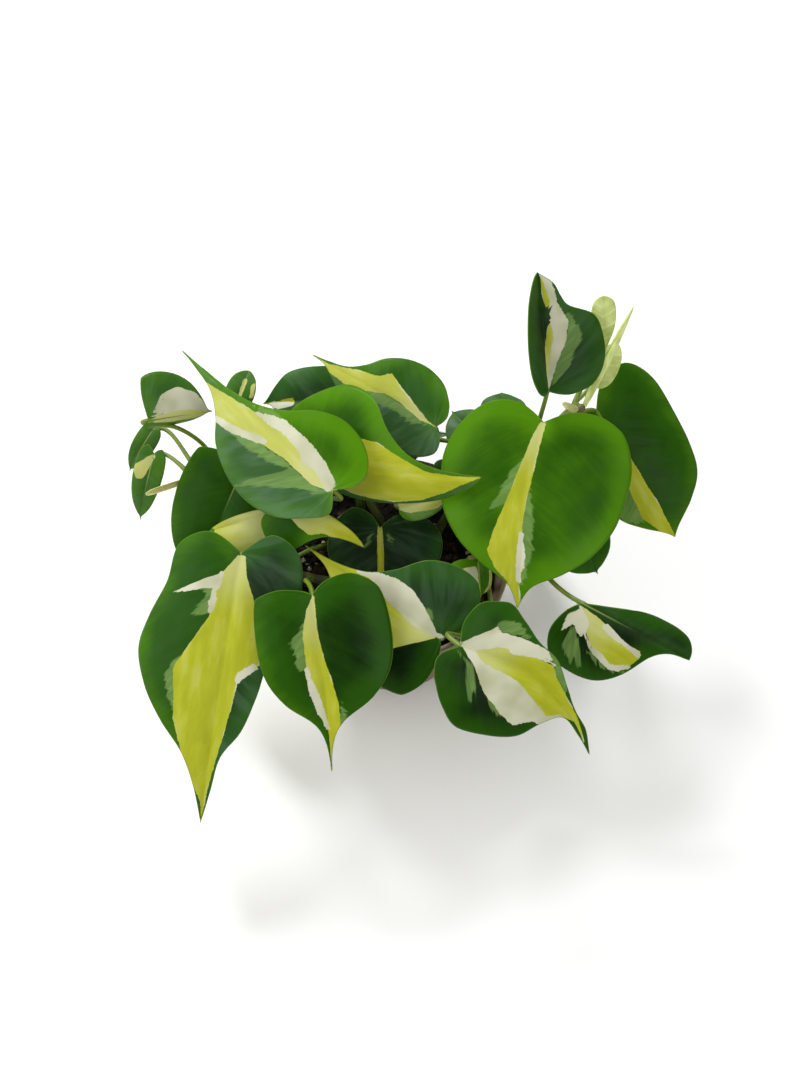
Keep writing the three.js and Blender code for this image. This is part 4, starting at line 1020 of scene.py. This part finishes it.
def writeValues(bm, made, leaf, length):
    # gives each grid point the values for its finish, and returns their places on the flat blade
    layers = {name: bm.verts.layers.float[name] for name in attributeNames}
    spots = []
    for v in made:
        side, s, r = gridPlace(v)
        half = 0 if side < 0 else 1
        across, forward, out = flatPoint(leaf, length, side, s, r)
        spots.append((across, forward))
        ownShare = min(1.0, abs(across) / blade["sideReach"])
        for name in ("tone", "bloom"):
            mean = sum(leaf[name]) / 2
            v[layers[name]] = mean + (leaf[name][half] - mean) * ownShare
        v[layers["seed"]] = leaf["seed"]
        v[layers["milk"]] = leaf["milk"]
        v[layers["reach"]] = math.hypot(across, forward)
        v[layers["midrib"]] = abs(across)
        v[layers["rib"]] = veinPhase(across, forward, length) * (1 - 0.3 * r) * min(1, r * 6)
    flatSpots = np.array(spots, float)
    depths = {"edge": np.maximum(0, depthInside(flatSpots, marginOutline(leaf, length)))}
    for name in ("lime", "cream", "sage"):
        found = [depthInside(flatSpots, outline) for outline in leaf[name]]
        depths[name] = np.max(found, axis=0) if found else np.full(len(spots), blade["unmarked"])
    for name, values in depths.items():
        for v, value in zip(made, values):
            v[layers[name]] = float(value)
    return spots


def writeMaps(bm, faces, spotOf):
    # a unit of either map is a tenth of a metre
    flatMap, veinMap = bm.loops.layers.uv["flat"], bm.loops.layers.uv["vein"]
    for face in faces:
        for loop in face.loops:
            across, forward = spotOf[loop.vert]
            loop[flatMap].uv = (across / 100, forward / 100)
            loop[veinMap].uv = (veinStart(across, forward) / 100, across / 100)


def makeBlade(bm, leaf, shape, thickness):
    # a grid laid out on the flat blade, bent into the leaf and given its thickness
    made, faces = newGrid(bm, *gridSize(leaf, shape["length"]))
    spots = writeValues(bm, made, leaf, shape["length"])
    writeMaps(bm, faces, dict(zip(made, spots)))
    for v in made:
        v.co = bladePoint(leaf, shape, *gridPlace(v))
    bmesh.ops.remove_doubles(bm, verts=made, dist=1e-3)
    upper = [f for f in faces if f.is_valid]
    bmesh.ops.recalc_face_normals(bm, faces=upper)
    largest = max(upper, key=lambda f: f.calc_area())
    if largest.normal.dot(shape["up"]) < 0:
        bmesh.ops.reverse_faces(bm, faces=upper)
    lower, wall = thicken(bm, upper, thickness)
    for face in lower:
        face.material_index = 1
    for face in wall:
        face.material_index = 2


def newLeafMesh():
    bm = bmesh.new()
    for name in ("flat", "vein"):
        bm.loops.layers.uv.new(name)
    for name in attributeNames:
        bm.verts.layers.float.new(name)
    return bm


def petioleSwell(t):
    # thicker toward the stem and toward the blade
    footSwell = petiole["footSwell"] * math.exp(-t * petiole["footFade"])
    tipSwell = petiole["tipSwell"] * math.exp(-(1 - t) * petiole["tipFade"])
    return petiole["slim"] + footSwell + tipSwell


def addPetiole(bm, leaf, shape):
    # the stalk, swollen where it clasps the stem, and on under the blade as its midrib
    start, route = petioleRoute(leaf, shape)
    foot = [start.lerp(route[0], t) for t in (0.35, 0.7)]
    radii = [petiole["radius"] * share for share in petiole["clasp"]]
    total = len(route) - 1
    radii += [petiole["radius"] * petioleSwell(k / total) for k in range(total)]
    lobeEnd, ribSteps = blade["lobeEnd"], petiole["ribSteps"]
    under = []
    for k in range(1, ribSteps + 1):
        t = petiole["ribStart"] + petiole["ribReach"] * (k / ribSteps)
        s = lobeEnd + (1 - lobeEnd) * t ** (1 / blade["rootPower"])
        below = petiole["ribSink"] * (1 - t) + petiole["ribGap"]
        under.append(bladePoint(leaf, shape, 1, s, 0) - shape["up"] * below)
        radii.append(petiole["radius"] * (petiole["ribWidth"] - petiole["ribTaper"] * k / ribSteps))
    points, radii = roundedEnds(foot + route[:-1] + under, radii)
    tube(bm, points, radii, petiole["sides"], 3)


def makeLeaf(row, number):
    leaf = {**usual, **row, "seed": 3.7 * number}
    shape = bladeFrame(leaf)
    bm = newLeafMesh()
    makeBlade(bm, leaf, shape, blade["thickness"])
    addPetiole(bm, leaf, shape)
    skins = [finishes["youngBlade"]] * 3 if leaf["kind"] == "young" else [leafUpper, leafUnder, leafRim]
    skins.append(finishes["petiole"])
    finishPiece(bm, leaf["name"].replace("leaf", "blade"), skins, leaf["kind"], leaf["name"])


for number, row in enumerate(leaves, 1):
    makeLeaf(row, number)
for name, route in stemRoutes.items():
    makeStem(name, route, [row["at"] for row in leaves if row["stem"] == name])
print("leaves and stems made:", len(leaves), len(stems))

sheaths = [
    dict(name="sheath_left", outline=["slim", "slim"], base=[-89.4, 27.4, 85], tip=[-105, 22, 83.5],
         face=[0, -0.6, 0.8], left=2.5, right=3, fold=[40, 40], curve=[50, 50], arch=40, wave=0.2),
    dict(name="sheath_right_back", outline=["slim", "slim"], base=[75.4, 39.5, 118.1],
         tip=[69, 40.6, 122.4], face=[0, -0.6, 0.8], left=2, right=2, fold=[20, 20], curve=[40, 40],
         arch=50, wave=0.2),
]
for number, row in enumerate(sheaths):
    sheath = {**usual, **row, "seed": 90.0 + number}
    bm = newLeafMesh()
    makeBlade(bm, sheath, bladeFrame(sheath), blade["sheathThickness"])
    finishPiece(bm, sheath["name"] + "_papery", [finishes["drySheath"]], "sheath", sheath["name"])

rolled = dict(foot=[78.7, 42.3, 118.6], tip=[96, 67, 150], radius=2.0, turns=1.35, skin=0.3,
              inner=0.62, spiral=0.3, twist=2.2, columns=44, rows=48, profile=[
                  (0, 0.5), (0.08, 0.72), (0.2, 0.88), (0.45, 1), (0.75, 0.7), (0.95, 0.25), (1, 0.05)])


def makeRolledLeaf():
    # the newest blade is a sheet wound round itself
    foot, tip = Vector(rolled["foot"]), Vector(rolled["tip"])
    ahead = tip - foot
    turn = Vector((0, 0, 1)).rotation_difference(ahead.normalized()).to_matrix()
    heights, widths = zip(*rolled["profile"])
    bm = newLeafMesh()
    made, faces = newGrid(bm, rolled["columns"], rolled["rows"])
    flatMap, veinMap = bm.loops.layers.uv["flat"], bm.loops.layers.uv["vein"]
    for face in faces:
        for loop in face.loops:
            around, t = (loop.vert.co.x + 1) / 2, (loop.vert.co.y + 1) / 2
            loop[flatMap].uv = (around * 0.16, t * 0.44)
            loop[veinMap].uv = (around + t * 0.7, t)
    for v in made:
        around, t = (v.co.x + 1) / 2, (v.co.y + 1) / 2
        radius = rolled["radius"] * np.interp(t, heights, widths)
        radius *= rolled["inner"] + rolled["spiral"] * around
        angle = 2 * math.pi * rolled["turns"] * around + rolled["twist"] * t
        v.co = foot + turn @ Vector((radius * math.cos(angle), radius * math.sin(angle), t * ahead.length))
    bmesh.ops.recalc_face_normals(bm, faces=faces)
    thicken(bm, faces, rolled["skin"])
    finishPiece(bm, "rolled_leaf", [finishes["youngBlade"]], "young", "new_leaf_rolled")


makeRolledLeaf()
print("sheaths and rolled leaf made")

# the studio is in metres: a pale floor, three soft lamps turned to the plant, and a pale room
studio = dict(floorSize=6.0, floorDrop=0.0004, floorColour=(0.92, 0.92, 0.915, 1), aim=(0, 0, 0.09),
              air=0.5, airColour=(1.0, 1.0, 0.99, 1))
lamps = [
    dict(name="windowBehind", place=(-0.45, 0.95, 1.15), size=0.42, energy=17.0, colour=(0.98, 0.99, 1.0)),
    dict(name="softLeft", place=(-1.0, -0.3, 0.9), size=1.2, energy=8.0, colour=(1.0, 0.99, 0.97)),
    dict(name="softFront", place=(0.7, -0.9, 1.1), size=0.9, energy=6.0, colour=(1.0, 0.98, 0.95)),
]
# the lens takes in 1065 rows of a picture at a focal length of 1133 of them
view = dict(sensor=36, rows=1065, focus=1133, place=(0.003389, -0.246996, 0.483665), tilt=32)


def makeFloor():
    bm = bmesh.new()
    bmesh.ops.create_grid(bm, x_segments=1, y_segments=1, size=studio["floorSize"] / 2)
    bmesh.ops.translate(bm, vec=(0, 0, -studio["floorDrop"]), verts=bm.verts)
    floor = addObject("floor", meshFrom(bm, "floor"))
    material, tree, shader = newMaterial("floorPale", 0.8, 0.2)
    shader.inputs["Base Color"].default_value = studio["floorColour"]
    floor.data.materials.append(material)


def softLight(name, place, size, energy, colour):
    lamp = bpy.data.lights.new(name, "AREA")
    lamp.shape, lamp.size, lamp.energy, lamp.color = "DISK", size, energy, colour
    light = addObject(name, lamp)
    light.location = place
    light.rotation_euler = (Vector(studio["aim"]) - Vector(place)).to_track_quat("-Z", "Y").to_euler()


makeFloor()
for row in lamps:
    softLight(**row)
scene = bpy.context.scene
scene.world = bpy.data.worlds.new("paleRoom")
scene.world.use_nodes = True
air = scene.world.node_tree.nodes["Background"].inputs
air["Color"].default_value, air["Strength"].default_value = studio["airColour"], studio["air"]
scene.view_settings.view_transform = "Standard"

lens = bpy.data.cameras.new("photoCamera")
lens.sensor_width = view["sensor"]
lens.lens = view["sensor"] * view["focus"] / view["rows"]
lens.clip_start, lens.clip_end = 0.02, 20
camera = addObject("photoCamera", lens)
camera.location = view["place"]
camera.rotation_euler = (math.radians(view["tilt"]), 0, 0)
scene.camera = camera
print("studio and camera ready")
